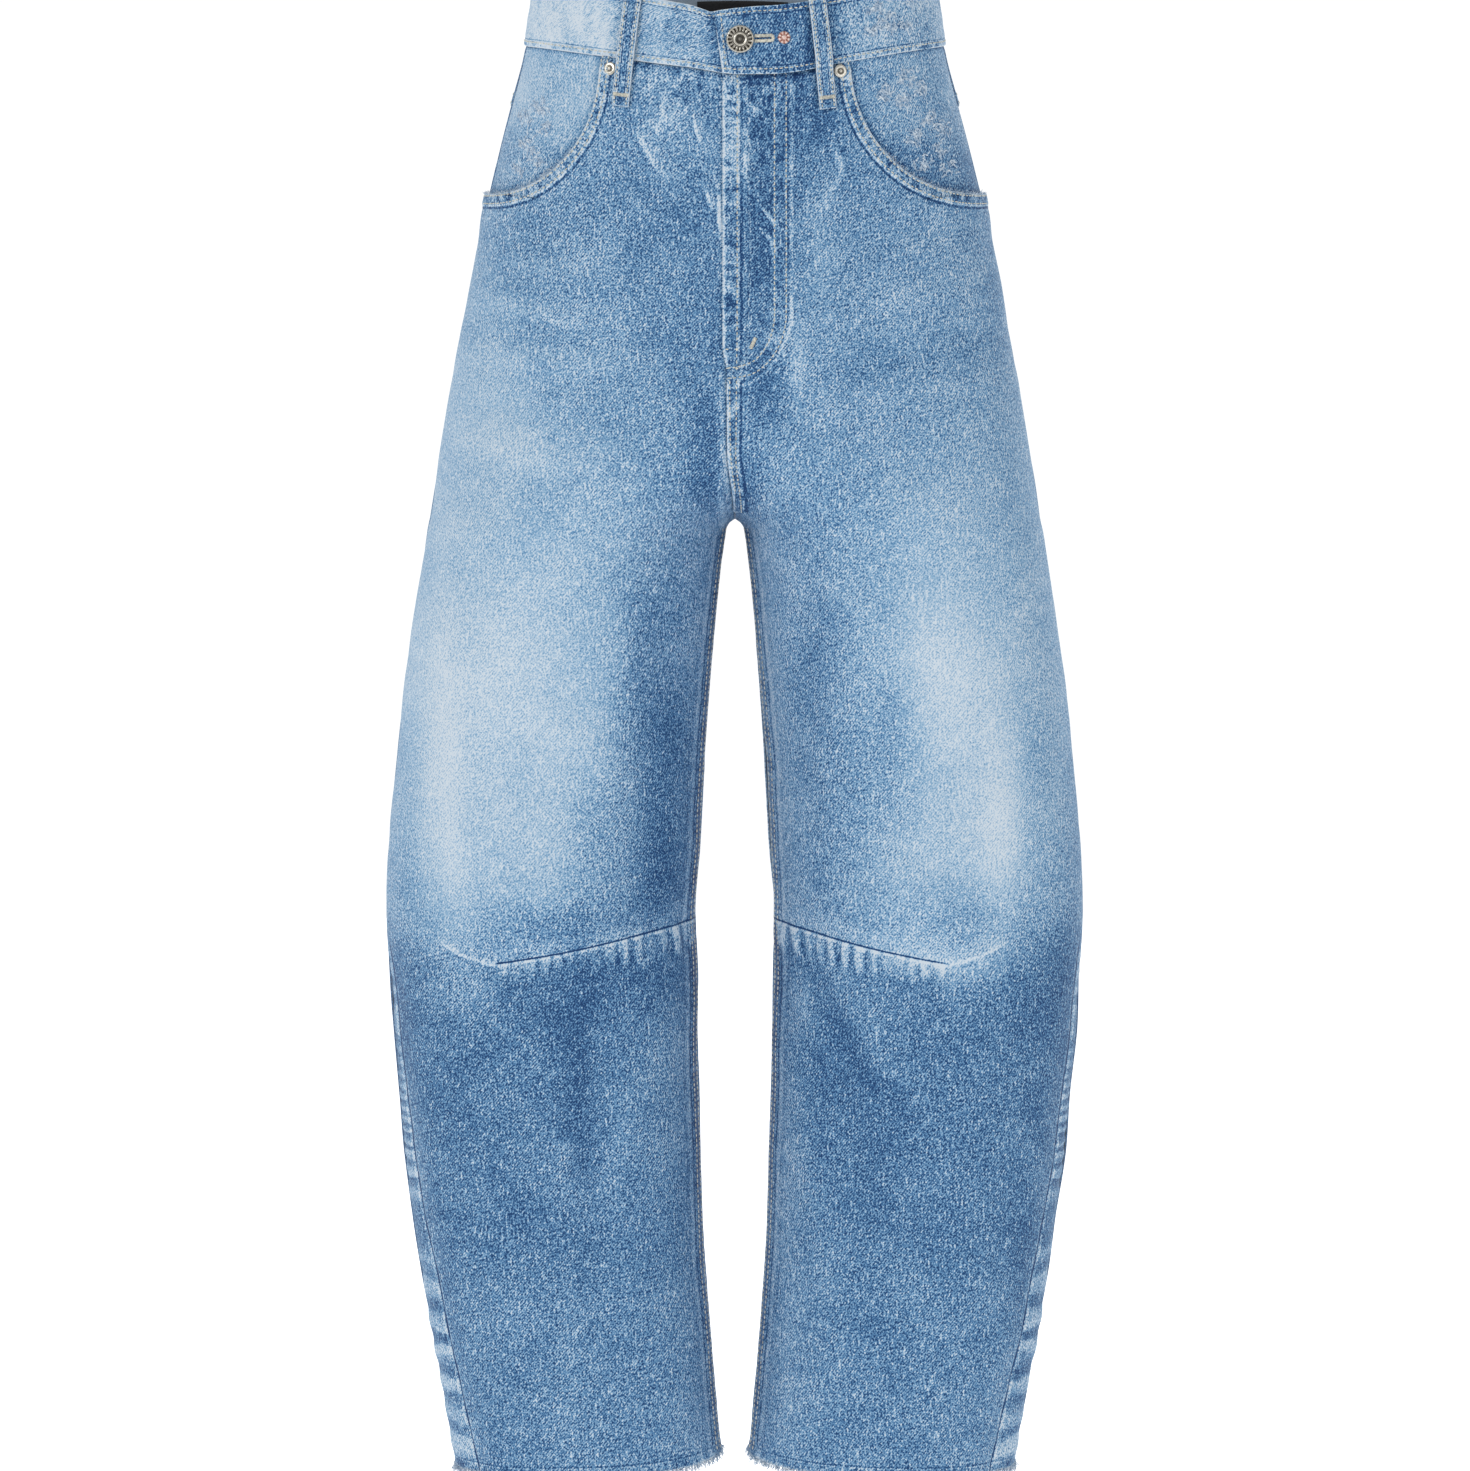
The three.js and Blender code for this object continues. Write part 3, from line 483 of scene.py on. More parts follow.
# A narrow crease is worn almost white along its ridge, and a wide one hardly.
def addCreases(finish, side, half, x, drop, held=1.0):
    for n, crease in enumerate(creases):
        if (crease.side, crease.half) != (side, half):
            continue
        along, across, past = alongFold(x, drop, crease)
        bowed = across - crease.bow * np.sin(np.pi * along)
        beyond = np.sqrt(np.maximum(past**2 - across**2, 0))
        uneven = 1 + 0.3 * mottle(x, drop, 12, 300 + n)
        ends = np.sin(np.pi * np.clip(along, 0.04, 0.96)) ** 0.6
        ridge = crease.height * bell(np.hypot(bowed, beyond) / (crease.width * uneven)) * ends
        finish.add(ridge * held, ridge * min(0.22, 0.075 + 0.45 / crease.width**1.6))
        if crease.width < 4.2:
            broken = smooth(0.62 + 0.9 * mottle(x, drop, 8, 340 + n))
            bright = 1.1 * crease.height * ends * bell(beyond / 1.5) * broken
            addLine(finish, bowed / (0.42 * crease.width), bright)


# How much paler the washed places make the cloth, and how much darker the ovals of painted shade make it,
# for those whose middle lies from top to bottom.
def washAndShadeAt(side, half, x, drop, top=0, bottom=1000):
    pale = np.zeros(np.shape(x))
    for softOval in washesAndShade:
        if (softOval.side, softOval.half) == (side, half) and top <= softOval.drop < bottom:
            c, s = math.cos(math.radians(softOval.lean)), math.sin(math.radians(softOval.lean))
            dx, dd = x - softOval.x, drop - softOval.drop
            far = ((dx * c + dd * s) / softOval.across) ** 2 + ((dd * c - dx * s) / softOval.down) ** 2
            pale = pale + softOval.pale * np.exp(-far)
    return pale


# A finish is what a place on the cloth gets: its height outwards, how pale it is washed or darkened by
# painted shade, how much it is rubbed, stays dark or takes painted shade, how crumpled it is, and where it
# lies on a sewn strip or beside a dart. A strip's place is (share across, ruffles along, strength) and a
# dart's (mm away, gathers along, strength), so that the material can draw their fine edges and the painted
# shadow just past a strip.
class Finish:
    def __init__(self, out, pale):
        nothing = np.zeros(np.shape(out))
        self.out = nothing + out
        self.pale = nothing + pale
        self.rubAndShade = nothing
        self.crumple = nothing
        self.gather = nothing
        self.strip = np.stack([nothing + 4, nothing, nothing], axis=-1)
        self.dart = np.stack([nothing + 40, nothing, nothing], axis=-1)
        self.crease = np.stack([nothing + 9, nothing, nothing], axis=-1)

    def add(self, height=0.0, rubAndShade=0.0, crumple=0.0):
        self.out = self.out + height
        self.rubAndShade = self.rubAndShade + rubAndShade
        self.crumple = self.crumple + crumple


# A felled or hemmed strip beside a seam or edge, ruffled by its rows of stitches. The material paints a
# shadow just past its edge.
def addStrip(finish, away, along, width, rise=0.6, ruffle=4.6, strength=1.0, seed=1):
    inside = smooth((away + 0.3) / 0.9) * (1 - smooth((away - width + 0.5) / 1.1))
    wander = (along + 2.2 * mottle(along, away, 11, seed)) / ruffle
    ripple = np.sin(2 * np.pi * wander) * (0.7 + 0.6 * mottle(along, away, 17, seed + 1))
    edge = bell((away - width - 0.4) / 1.0)
    finish.add(strength * (rise * inside + 0.16 * ripple * inside - 0.25 * edge))
    across = np.clip(away / width, -0.5, 4)
    spot = np.stack(np.broadcast_arrays(across, wander, strength), axis=-1)
    nearer = (np.abs(across - 0.5) < np.abs(finish.strip[..., 0] - 0.5)) & (strength > 0.02)
    finish.strip = np.where(nearer[..., None], spot, finish.strip)


# A dart's seam, gathered on the side where away is above zero.
def addDart(finish, away, along, strength, gather):
    spot = np.stack(np.broadcast_arrays(np.clip(away, -40, 40), along, strength), axis=-1)
    nearer = (np.abs(away) < np.abs(finish.dart[..., 0])) & (np.maximum(strength, gather) > 0.01)
    finish.dart = np.where(nearer[..., None], spot, finish.dart)
    finish.gather = np.where(nearer, gather, finish.gather)


# A sharp worn line: how far away it is, in its own half-widths, and how bright. The material paints shade
# beside it.
def addLine(finish, away, strength):
    spot = np.stack(np.broadcast_arrays(np.clip(away, -9, 9), strength, 0.0), axis=-1)
    before = finish.crease[..., 1] * bell(finish.crease[..., 0] / 2.5)
    nearer = strength * bell(away / 2.5) > before + 0.004
    finish.crease = np.where(nearer[..., None], spot, finish.crease)


# The cloth turns in where two panels meet, and is darkened there with painted shade in the seam.
def addSeamEdgeAndShade(finish, away, depth, dark, where=1.0):
    finish.add(-depth * bell(away / 2.4) * where, -dark * bell(away / 1.8))


pocket = {"outer": 161, "depth": 96, "width": {-1: 76, 1: 88}, "underlap": 8, "sink": 1.2,
          "strip": 8.2, "lift": 11, "slope": 22}
pocketBottom = waist["height"] + pocket["depth"]
fly = {"edge": 8, "seamEdge": 5.4, "end": 228, "seamFrom": 246, "lapEnd": 338, "fade": 40, "settle": 12,
       "flat": 2, "slope": 18, "seamSlope": 7, "strip": 11, "seamStrip": 8.5, "curveEnd": 262,
       "brightEnd": 245, "darkEnd": 300}

# How much lower the band's two edges lie in front than the level line, at distances from the middle
# plane, because its buttoned end hangs.
bandDips = named("x top low", (
    (-140, 0, 1.2),
    (-60, 0, 1.6),
    (-28, 2.0, 1.7),
    (-15, 5.2, 2.6),
    (-8, 3.2, 3.4),
    (0, 1.6, 3.6),
    (12, 1.4, 4.4),
    (27, 2.2, 5.7),
    (41, 2.2, 5.8),
    (73, 0.8, 3.2),
    (105, 0, 2.0),
    (140, 0, 1.2),
))


def bandDipAt(x, drop):
    at, top, low = zip(*bandDips)
    return lerp(np.interp(x, at, top), np.interp(x, at, low), np.clip(drop / waist["height"], 0, 1))


# The left front laps over the right one by this much, at the fly and on down the centre seam.
def lapAt(drop):
    edge = lerp(fly["edge"], fly["seamEdge"], smooth((drop - fly["end"]) / (fly["seamFrom"] - fly["end"])))
    return edge * (1 - smooth((drop - fly["lapEnd"] + fly["fade"]) / fly["fade"]) * 0.7)


# How far outside a pocket opening's edge a place lies, and how far along that edge.
def pocketAway(side, x, drop):
    across = np.maximum(0, pocket["outer"] - x) / pocket["width"][side]
    down = np.maximum(0, drop - waist["height"]) / pocket["depth"]
    away = (np.hypot(across, down) - 1) * pocket["depth"]
    return away, np.arctan2(down, across) * pocket["depth"] * 0.9


# A front lies one layer above what is under its pocket edge and, on the wearer's left, its fly.
def frontLift(side, share, drop):
    x = distanceOut(share, drop)
    lift = 1 - smooth((pocketAway(side, x, drop)[0] - pocket["lift"]) / pocket["slope"])
    if side > 0:
        signed = np.where(share < 0, -x, x)
        down = 1 - smooth((drop - fly["lapEnd"] + 4) / fly["settle"])
        slope = lerp(fly["slope"], fly["seamSlope"], smooth((drop - fly["end"]) / fly["settle"]))
        lift = np.maximum(lift, (1 - smooth((signed - fly["flat"]) / slope)) * down)
    return layer * lift


def addPocketEdge(finish, side, x, drop):
    away, along = pocketAway(side, x, drop)
    away = np.where(drop < pocketBottom + 40, away, 99)
    addStrip(finish, away, along, pocket["strip"], rise=0.7, ruffle=3.6, strength=1.4, seed=40 + side)
    onStrip = smooth((away + 1) / 2) * (1 - smooth((away - 7) / 2))
    finish.add(0, 0.04 * onStrip, 0.5 * bell((away - 9) / 9))


# The waist seam draws the cloth in, with small gathers below it.
def addWaistSeam(finish, side, x, signed, drop):
    fromWaist = drop - waist["height"]
    fromBand = fromWaist - bandDipAt(signed * side, drop)
    gather = mottle(x * 1.0, fromWaist * 0.25, 5.5, 50 + side) * bell((fromBand - 4) / 11)
    drawnIn = 2.6 * (1 - smooth((fromBand + 0.5) / 3))
    finish.add(0.55 * gather - drawnIn, 0.20 * gather, 1.2 * bell((fromBand - 6) / 15))
    addStrip(finish, fromBand, x, 5, rise=0, ruffle=4.2, strength=0.5, seed=55)
    # painted shadow on the cloth just below the band
    finish.add(0, -0.22 * bell((fromBand - 1) / 3.5))
    finish.add(0, 0, 0.5 * bell((x - 20) / 24) * (1 - smooth((drop - 130) / 60)))


# The left front's lapped edge, and the dark cloth and curved stitching of its fly.
def addFly(finish, x, signed, drop):
    fromLap = signed + lapAt(drop)
    lapped = 1 - smooth((drop - fly["lapEnd"]) / 4)
    width = lerp(fly["strip"], fly["seamStrip"], smooth((drop - fly["end"]) / 14))
    addStrip(finish, fromLap, drop, width, rise=0.7, ruffle=6.2, strength=1.2 * lapped, seed=60)
    top = 1 - smooth((drop - 90) / 60)
    onStrip = smooth(fromLap / 1.5) * (1 - smooth((signed - 2) / 3)) * (drop < fly["darkEnd"])
    finish.add(0, top * 0.12 * bell((signed + 2) / 6) - 0.13 * (1 - top) * onStrip, 0.5 * onStrip)
    bright = 0.24 * bell((signed - 4.2) / 1.3) * (drop < fly["brightEnd"])
    finish.add(0, bright * (0.7 + 0.7 * mottle(drop, x * 0, 16, 63)))
    above = drop < fly["curveEnd"]
    away = flyCurveAway(signed, drop)
    between = smooth((away + 1.5) / 2) * (1 - smooth((away - 9.5) / 2)) * above
    finish.add(between * 0.35, -0.08 * between, 0.6 * between)
    onFly = smooth((signed - 2) / 3) * (1 - smooth((away + 1) / 3)) * above
    finish.add(0, -0.17 * onFly, 1.0 * onFly)
    onCurve = above * smooth((drop - waist["height"]) / 6)
    fromCurve = np.where(above, away + 0.6, 99)
    addStrip(finish, fromCurve, drop, 8.6, rise=0.3, ruffle=5.2, strength=0.62 * onCurve, seed=67)
    ridge = bell((away - 11) / 2.2) * onCurve
    finish.add(0.7 * ridge, 0.10 * ridge * (0.75 + 0.5 * mottle(drop, x, 9, 64)), 0.5 * ridge)
    addLine(finish, (away - 10.6) / 1.3, 0.75 * onCurve * smooth(0.55 + mottle(drop, x * 0, 13, 66)))


# The ridge beside the lapped edge on the right front, below the fly.
def addSeamRidge(finish, signed, drop):
    lower = smooth((drop - fly["end"]) / 30) * (1 - smooth((drop - leg["crotch"]) / 30))
    finish.add(0.9 * lower * bell((signed - 9) / 3), 0.24 * lower * bell((signed - 8.5) / 2.6))


def addInnerSeam(finish, side, x, drop):
    onLeg = smooth((drop - leg["crotch"] - 2) / 10)
    fromInner = (x - level["inner"](drop)) * leg["innerStretch"]
    away = np.where(onLeg > 0, fromInner, 99)
    addStrip(finish, away, drop, 6.5, rise=0.5, ruffle=3.6, strength=0.8 * onLeg, seed=70 + side)
    dark = lerp(0.24 if side > 0 else 0.34, 0.20, smooth((drop - 720) / 120))
    finish.add(0, -dark * onLeg * (1 - smooth((fromInner - 5) / 3)), 0.4 * onLeg * bell(fromInner / 16))
    addLine(finish, (fromInner - 10) / 1.6, 0.35 * onLeg)


# The knee dart: a sharp seam, gathered below, most at the inner leg, and a worn crease past its point.
def addKneeDart(finish, side, x, drop, fromKnee, pastTip):
    shown = 1 - smooth((pastTip + 0.01) / 0.02)
    leaning = fromKnee * 0.20 * (1 - smooth((x - 40) / 40)) * (side > 0)
    wander = x + 3.0 * mottle(x, drop * 0.2, 15, 82) - leaning
    strong = lerp(1.1, 0.55, smooth((x - 60) / 60)) * (0.75 + 0.6 * mottle(x, drop * 0, 17, 83 + side))
    edge = smooth((x - level["inner"](drop)) / 5)
    dies = 1 - smooth((fromKnee - lerp(13, 5, smooth((x - 50) / 90))) / 10)
    reach = smooth((fromKnee + 1) / 2) * dies * shown * strong
    pull = np.sin(2 * np.pi * wander / knee["gather"])
    finish.add((0.7 * pull * reach - 1.1 * shown * bell(fromKnee / 1.6)) * edge, 0.05 * reach,
               0.8 * shown * bell((fromKnee + 3) / 11) + 0.5 * reach)
    addDart(finish, fromKnee, wander / knee["gather"], shown, reach)
    past = smooth((pastTip + 0.03) / 0.03) * (1 - smooth((pastTip - 0.14) / 0.06))
    finish.add(1.1 * past * bell(fromKnee / 2.4), 0.08 * past * bell(fromKnee / 3),
               0.4 * past * bell(fromKnee / 8))
    addLine(finish, fromKnee / 1.2, 0.9 * past * (0.8 + 0.4 * mottle(x, drop, 6, 84)))


# The shin dart: a sharp seam, and ruffled cloth between it and the outer seam.
def addShinDart(finish, side, x, drop):
    fromShin = (x - distanceOut(shinShare(drop), drop)) * 1.25
    shown = smooth((drop - shin["top"] - 4) / 16)
    ruffle = lerp(13, 21, smooth((drop - 660) / 160))
    wander = (drop + 3.2 * mottle(drop, x * 0.3, 21, 91 + side)) / ruffle
    reach = shown * smooth((fromShin - 0.5) / 2) * (0.75 + 0.6 * mottle(drop, x * 0.4, 33, 93))
    reach = reach * lerp(0.35, 0.9, smooth((drop - 680) / 120))
    finish.add(0.6 * reach * np.sin(2 * np.pi * wander) - 0.9 * shown * bell(fromShin / 1.3), 0.07 * reach)
    finish.add(0.5 * shown * bell((fromShin + 2.4) / 1.6), 0.14 * shown * bell((fromShin + 1.6) / 1.6),
               0.5 * reach)
    addDart(finish, fromShin, wander, shown, reach)


def frontFinish(side, share, drop):
    whole = np.maximum(share, 0)
    x = distanceOut(share, drop)
    signed = np.where(share < 0, -x, x)
    fromKnee = drop - kneeSeam(side, whole)
    pastTip = acrossLeg(whole) - knee["tipAcross"][side]
    below = smooth((fromKnee + 3) / lerp(64, 22, 1 - smooth((pastTip + 0.06) / 0.16)))
    thigh = palenessAt("front", drop) + washAndShadeAt(side, "front", signed, drop, 0, knee["drop"])
    pale = lerp(thigh, palenessAt("shin", drop), below * 0.88)
    pale = pale + washAndShadeAt(side, "front", signed, drop, knee["drop"])
    finish = Finish(largeRelief(side, "front", whole, drop) + frontLift(side, share, drop), pale)

    addCreases(finish, side, "front", signed, drop, smooth((x - fly["edge"] + 2) / 5) if side < 0 else 1)
    soft = mottle(x, drop, 38, 11 + side) * 0.8 + mottle(x, drop, 15, 21 + side) * 0.25
    finish.add(soft * smooth((x - 9) / 20), 0.03 * mottle(x, drop, 9, 31 + side))
    addPocketEdge(finish, side, x, drop)
    addWaistSeam(finish, side, x, signed, drop)
    if side > 0:
        addFly(finish, x, signed, drop)
    else:
        addSeamRidge(finish, signed, drop)
    addInnerSeam(finish, side, x, drop)
    addKneeDart(finish, side, x, drop, fromKnee, pastTip)
    addShinDart(finish, side, x, drop)

    # the raw hem
    toHem = rowDrop("front", whole, leg["hem"]) - drop
    addStrip(finish, toHem, x, 6, rise=0.2, ruffle=4, strength=0.7, seed=97)
    finish.add(0.4 * bell(toHem / 4) * (1 + mottle(x, drop, 7, 95)), 0.12 * bell(toHem / 2.2))
    addSeamEdgeAndShade(finish, (1 - whole) * leg["round"], 0.8, 0.2, drop > pocketBottom)
    return finish


# How far outside the inner row of the fly's curved stitching a place lies.
flyCurve = {"x": 25, "bottom": 242.6, "turn": 206, "gap": 7.4, "lowGap": 7}


def flyCurveAway(signed, drop):
    down = np.maximum(0, drop - flyCurve["turn"]) / (flyCurve["bottom"] - flyCurve["turn"])
    across = np.maximum(0, signed) / flyCurve["x"]
    straight = signed - flyCurve["x"]
    curved = (np.hypot(across, down) - 1) * lerp(flyCurve["x"], 32, smooth(down))
    return np.where(drop > flyCurve["turn"], curved, straight)


yokeShape = {"side": 78, "centre": 108, "fade": 200}


# The yoke is narrow at the side and comes to a point at the centre back.
def yokeSeam(share):
    return lerp(yokeShape["centre"], yokeShape["side"], share)


def backDrop(share, drop):
    near = 1 - smooth((drop - yokeShape["side"]) / (yokeShape["fade"] - yokeShape["side"]))
    return rowDrop("back", share, drop + (yokeSeam(share) - yokeShape["side"]) * near)


def backFinish(side, share, drop):
    x = distanceOut(share, drop)
    pale = palenessAt("back", drop) + washAndShadeAt(side, "back", x, drop)
    finish = Finish(largeRelief(side, "back", share, drop), pale)
    addCreases(finish, side, "back", x, drop)
    soft = mottle(x, drop, 40, 111 + side) * 0.9
    finish.add(soft * smooth((x - 4) / 20), 0.03 * mottle(x, drop, 9, 121))
    onSeat = 1 - smooth((drop - leg["crotch"] + 4) / 6)
    if side > 0:
        addStrip(finish, x, drop, 8, rise=0.6, strength=onSeat, seed=130)
    fromYoke = drop - yokeSeam(share)
    inset = 1 - smooth((share - 0.95) / 0.04)
    # the yoke seam sinks, with painted shade just below it near the centre back
    finish.add(-0.5 * bell(fromYoke / 1.6) * inset, -0.4 * bell(fromYoke / 1.8) * (drop < 130) * inset)
    onLeg = smooth((drop - leg["crotch"] - 2) / 10)
    fromInner = (x - level["inner"](drop)) * leg["innerStretch"]
    away = np.where(onLeg > 0, fromInner, 99)
    addStrip(finish, away, drop, 6.5, rise=0.4, ruffle=3.8, strength=onLeg, seed=140 + side)
    finish.add(0, -0.25 * onLeg * (1 - smooth((fromInner - 5) / 5)))
    toHem = rowDrop("back", share, leg["hem"]) - drop
    finish.add(0.4 * bell(toHem / 4), 0.3 * bell(toHem / 2.2))
    addSeamEdgeAndShade(finish, (1 - share) * leg["round"], 0.8, 0.3)
    return finish


def yokeFinish(side, share, drop):
    x = distanceOut(share, drop)
    finish = Finish(np.zeros(np.shape(x)), 0.47 + 0.05 * mottle(x, drop, 22, 151 + side))
    finish.add(0.35 * mottle(x, drop, 24, 153), 0.04 * mottle(x, drop, 7, 155))
    inset = 1 - smooth((share - 0.95) / 0.04)
    addStrip(finish, yokeSeam(share) - drop, x, 8.5, rise=0.7, ruffle=4.4, strength=inset, seed=157)
    fromWaist = drop - waist["height"]
    # the cloth sinks at the band's edge, with a painted shadow just below the band
    finish.add(-0.5 * bell(fromWaist / 2.0), -0.3 * bell(fromWaist / 2.2))
    if side > 0:
        addStrip(finish, x, drop, 8, rise=0.4, seed=159)
    addSeamEdgeAndShade(finish, (1 - share) * leg["hipRound"], 0.6, 0.3)
    return finish


# Picked places: little knots of lifted pale threads at the hips and on the band. Each row is a
# cluster: its side, the middle plane's distance, its drop, its size and how many threads it has.
pickColumns = "side x drop size count"
hipPicks = named(pickColumns, (
    (1, 96, 66, 5, 16), (1, 110, 58, 6, 16), (1, 108, 72, 5, 14), (1, 120, 66, 5, 12),
    (1, 124, 84, 6, 14), (1, 116, 96, 6, 16), (1, 134, 92, 6, 14), (1, 132, 104, 5, 12),
    (1, 120, 112, 6, 14), (1, 138, 118, 6, 12), (-1, 126, 78, 6, 12), (-1, 136, 86, 5, 10),
    (-1, 122, 92, 5, 10), (-1, 134, 100, 6, 14), (-1, 128, 110, 6, 14), (-1, 140, 118, 5, 10),
    (-1, 120, 120, 5, 8),
))


def hipFinish(side, share, drop):
    x = distanceOut(share, drop)
    shade = {-1: 0.71, 1: 0.54}[side] - 0.20 * smooth((drop - 76) / 44)
    finish = Finish(np.zeros(np.shape(x)) - pocket["sink"], shade + 0.07 * mottle(x, drop, 17, 161 + side))
    finish.add(0.3 * mottle(x, drop, 20, 163), 0.05 * mottle(x, drop, 5, 165))
    away = pocketAway(side, x, drop)[0]
    # painted shadow on the facing under the front's raised pocket edge
    finish.add(0, -0.26 * smooth((away + 7) / 7))
    for pick in hipPicks:
        if pick.side == side:
            near = bell(np.hypot(x - pick.x, drop - pick.drop) / pick.size)
            finish.add(0, -0.05 * near, 1.1 * near)
    # painted shadow just below the band
    finish.add(0, -0.3 * bell((drop - waist["height"]) / 2.4))
    addSeamEdgeAndShade(finish, (1 - share) * leg["hipRound"], 0.6, 0.25)
    return finish


pieces = []
cloths = {}


# The faces of a closed shell, from a grid's outer points and then its inner ones.
def facesOf(rows, columns):
    number = np.arange(rows * columns).reshape(rows, columns)
    a, b, c, d = number[:-1, :-1], number[1:, :-1], number[1:, 1:], number[:-1, 1:]
    outer = np.stack([a, b, c, d], axis=-1).reshape(-1, 4)
    inner = outer[:, ::-1] + rows * columns
    rim = np.concatenate([number[:-1, 0], number[-1, :-1], number[:0:-1, -1], number[0, :0:-1]])
    after = np.roll(rim, -1)
    sides = np.stack([after, rim, rim + rows * columns, after + rows * columns], axis=-1)
    return np.concatenate([outer, inner, sides])


def signedVolume(points, faces):
    a, b, c, d = (points[faces[:, i]] for i in range(4))
    return np.einsum("ij,ij->", a, np.cross(b, c)) + np.einsum("ij,ij->", a, np.cross(c, d))


def newObject(name, data):
    made = bpy.data.objects.new(name, data)
    bpy.context.scene.collection.objects.link(made)
    return made


def meshObject(name, points, faces, material):
    mesh = bpy.data.meshes.new(name)
    mesh.from_pydata(points.tolist(), [], faces.tolist())
    mesh.materials.append(material)
    mesh.shade_smooth()
    return newObject(name, mesh)


def putMark(mesh, name, values):
    vectors = np.ndim(values) > 1 and np.shape(values)[-1] == 3
    kind, field = ("FLOAT_VECTOR", "vector") if vectors else ("FLOAT", "value")
    made = mesh.attributes.new(name, kind, "POINT")
    made.data.foreach_set(field, np.asarray(values, np.float32).ravel())


# Distances along the rows, for the weave, running to the wearer's left on both sides and in step
# along the middle of the panel, where the grain runs straight down.
def clothLengths(points, drop, side, grain):
    walked = np.cumsum(np.linalg.norm(np.diff(points, axis=1), axis=-1), axis=1)
    walked = np.concatenate([np.zeros((len(points), 1)), walked], axis=1)
    if grain:
        at = [np.interp(grain, row, w) for row, w in zip(points[..., 0] * side, walked)]
        walked = walked - np.array(at)[:, None] + grain
    return np.stack([walked * side, -np.broadcast_to(drop, walked.shape)], axis=-1)


# A sheet's flat width, length and area, from its smooth form.
def cutSize(points):
    across = np.linalg.norm(np.diff(points, axis=1), axis=-1)
    down = np.linalg.norm(np.diff(points, axis=0), axis=-1)
    a = np.cross(points[1:, :-1] - points[:-1, :-1], points[:-1, 1:] - points[:-1, :-1])
    area = np.linalg.norm(a, axis=-1).sum() * mm * mm
    return [float(across.sum(axis=1).max() * mm), float(down.sum(axis=0).max() * mm), float(area)]


# A closed thin shell from its outer and inner points, with its marks for the material. Its weave and
# its cut are measured on the plain points.
def shell(name, outer, inner, plain, drop, side, grain, finish, material):
    rows, columns = outer.shape[:2]
    points = np.concatenate([outer.reshape(-1, 3), inner.reshape(-1, 3)]) * mm
    faces = facesOf(rows, columns)
    if signedVolume(points, faces) < 0:
        faces = faces[:, ::-1]
    piece = meshObject(name, points, faces, material)
    mesh = piece.data
    flat = np.concatenate([clothLengths(plain, drop, side, grain).reshape(-1, 2)] * 2) * mm
    uv = mesh.uv_layers.new(name="cloth")
    loops = np.zeros(len(mesh.loops), int)
    mesh.loops.foreach_get("vertex_index", loops)
    uv.data.foreach_set("uv", flat[loops].astype(np.float32).ravel())
    for mark in ("pale", "rubAndShade", "crumple", "gather"):
        putMark(mesh, mark, np.tile(getattr(finish, mark).ravel(), 2))
    for mark in ("strip", "dart", "crease"):
        putMark(mesh, mark, np.tile(getattr(finish, mark).reshape(-1, 3), (2, 1)))
    putMark(mesh, "inside", np.repeat([0.0, 1.0], rows * columns))
    piece["cut"] = cutSize(plain)
    pieces.append(piece)
    cloths[name] = piece


# A shell on the cloth's main surface, as thick as the cloth and as high as its finish.
def panel(name, side, half, share, drop, finish, grain):
    outer = place(side, half, share, drop, finish.out)[0]
    inner = place(side, half, share, drop, finish.out - cloth["thick"])[0]
    plain = place(side, half, share, drop, 0)[0]
    shell(name, outer, inner, plain, drop, side, grain, finish, denim)


def srgb(*colour):
    shares = [value / 255 for value in colour]
    return (*(v / 12.92 if v <= 0.04045 else ((v + 0.055) / 1.055) ** 2.4 for v in shares), 1.0)


# A shader tree is written as a chain of these small helpers.
def newNode(tree, kind, settings=None, inputs=None):
    node = tree.nodes.new(kind)
    for key, value in (settings or {}).items():
        setattr(node, key, value)
    for key, value in (inputs or {}).items():
        if isinstance(value, bpy.types.NodeSocket):
            tree.links.new(value, node.inputs[key])
        else:
            node.inputs[key].default_value = value
    return node


def calculate(tree, operation, a, b=0.0, c=0.0):
    return newNode(tree, "ShaderNodeMath", {"operation": operation}, {0: a, 1: b, 2: c}).outputs[0]


def combine(tree, x, y, z):
    return newNode(tree, "ShaderNodeCombineXYZ", None, {0: x, 1: y, 2: z}).outputs[0]


def noiseAt(tree, vector, scale, turn=0.0, stretch=(1, 1, 1), detail=2.0, roughness=0.5):
    mapping = {"Vector": vector, "Rotation": (0, 0, turn), "Scale": stretch}
    turned = newNode(tree, "ShaderNodeMapping", None, mapping)
    inputs = {"Vector": turned.outputs[0], "Scale": scale, "Detail": detail, "Roughness": roughness}
    return newNode(tree, "ShaderNodeTexNoise", None, inputs).outputs["Fac"]


def newGroup(name, ins, outs):
    tree = bpy.data.node_groups.new(name, "ShaderNodeTree")
    for label, kind, value in ins:
        socket = tree.interface.new_socket(label, in_out="INPUT", socket_type=kind)
        if value is not None:
            socket.default_value = value
    for label, kind in outs:
        tree.interface.new_socket(label, in_out="OUTPUT", socket_type=kind)
    return tree, tree.nodes.new("NodeGroupInput").outputs, tree.nodes.new("NodeGroupOutput").inputs


def stepUp(tree, value, low, high):
    inputs = {"Value": value, "From Min": low, "From Max": high}
    return newNode(tree, "ShaderNodeMapRange", {"interpolation_type": "SMOOTHSTEP"}, inputs).outputs[0]


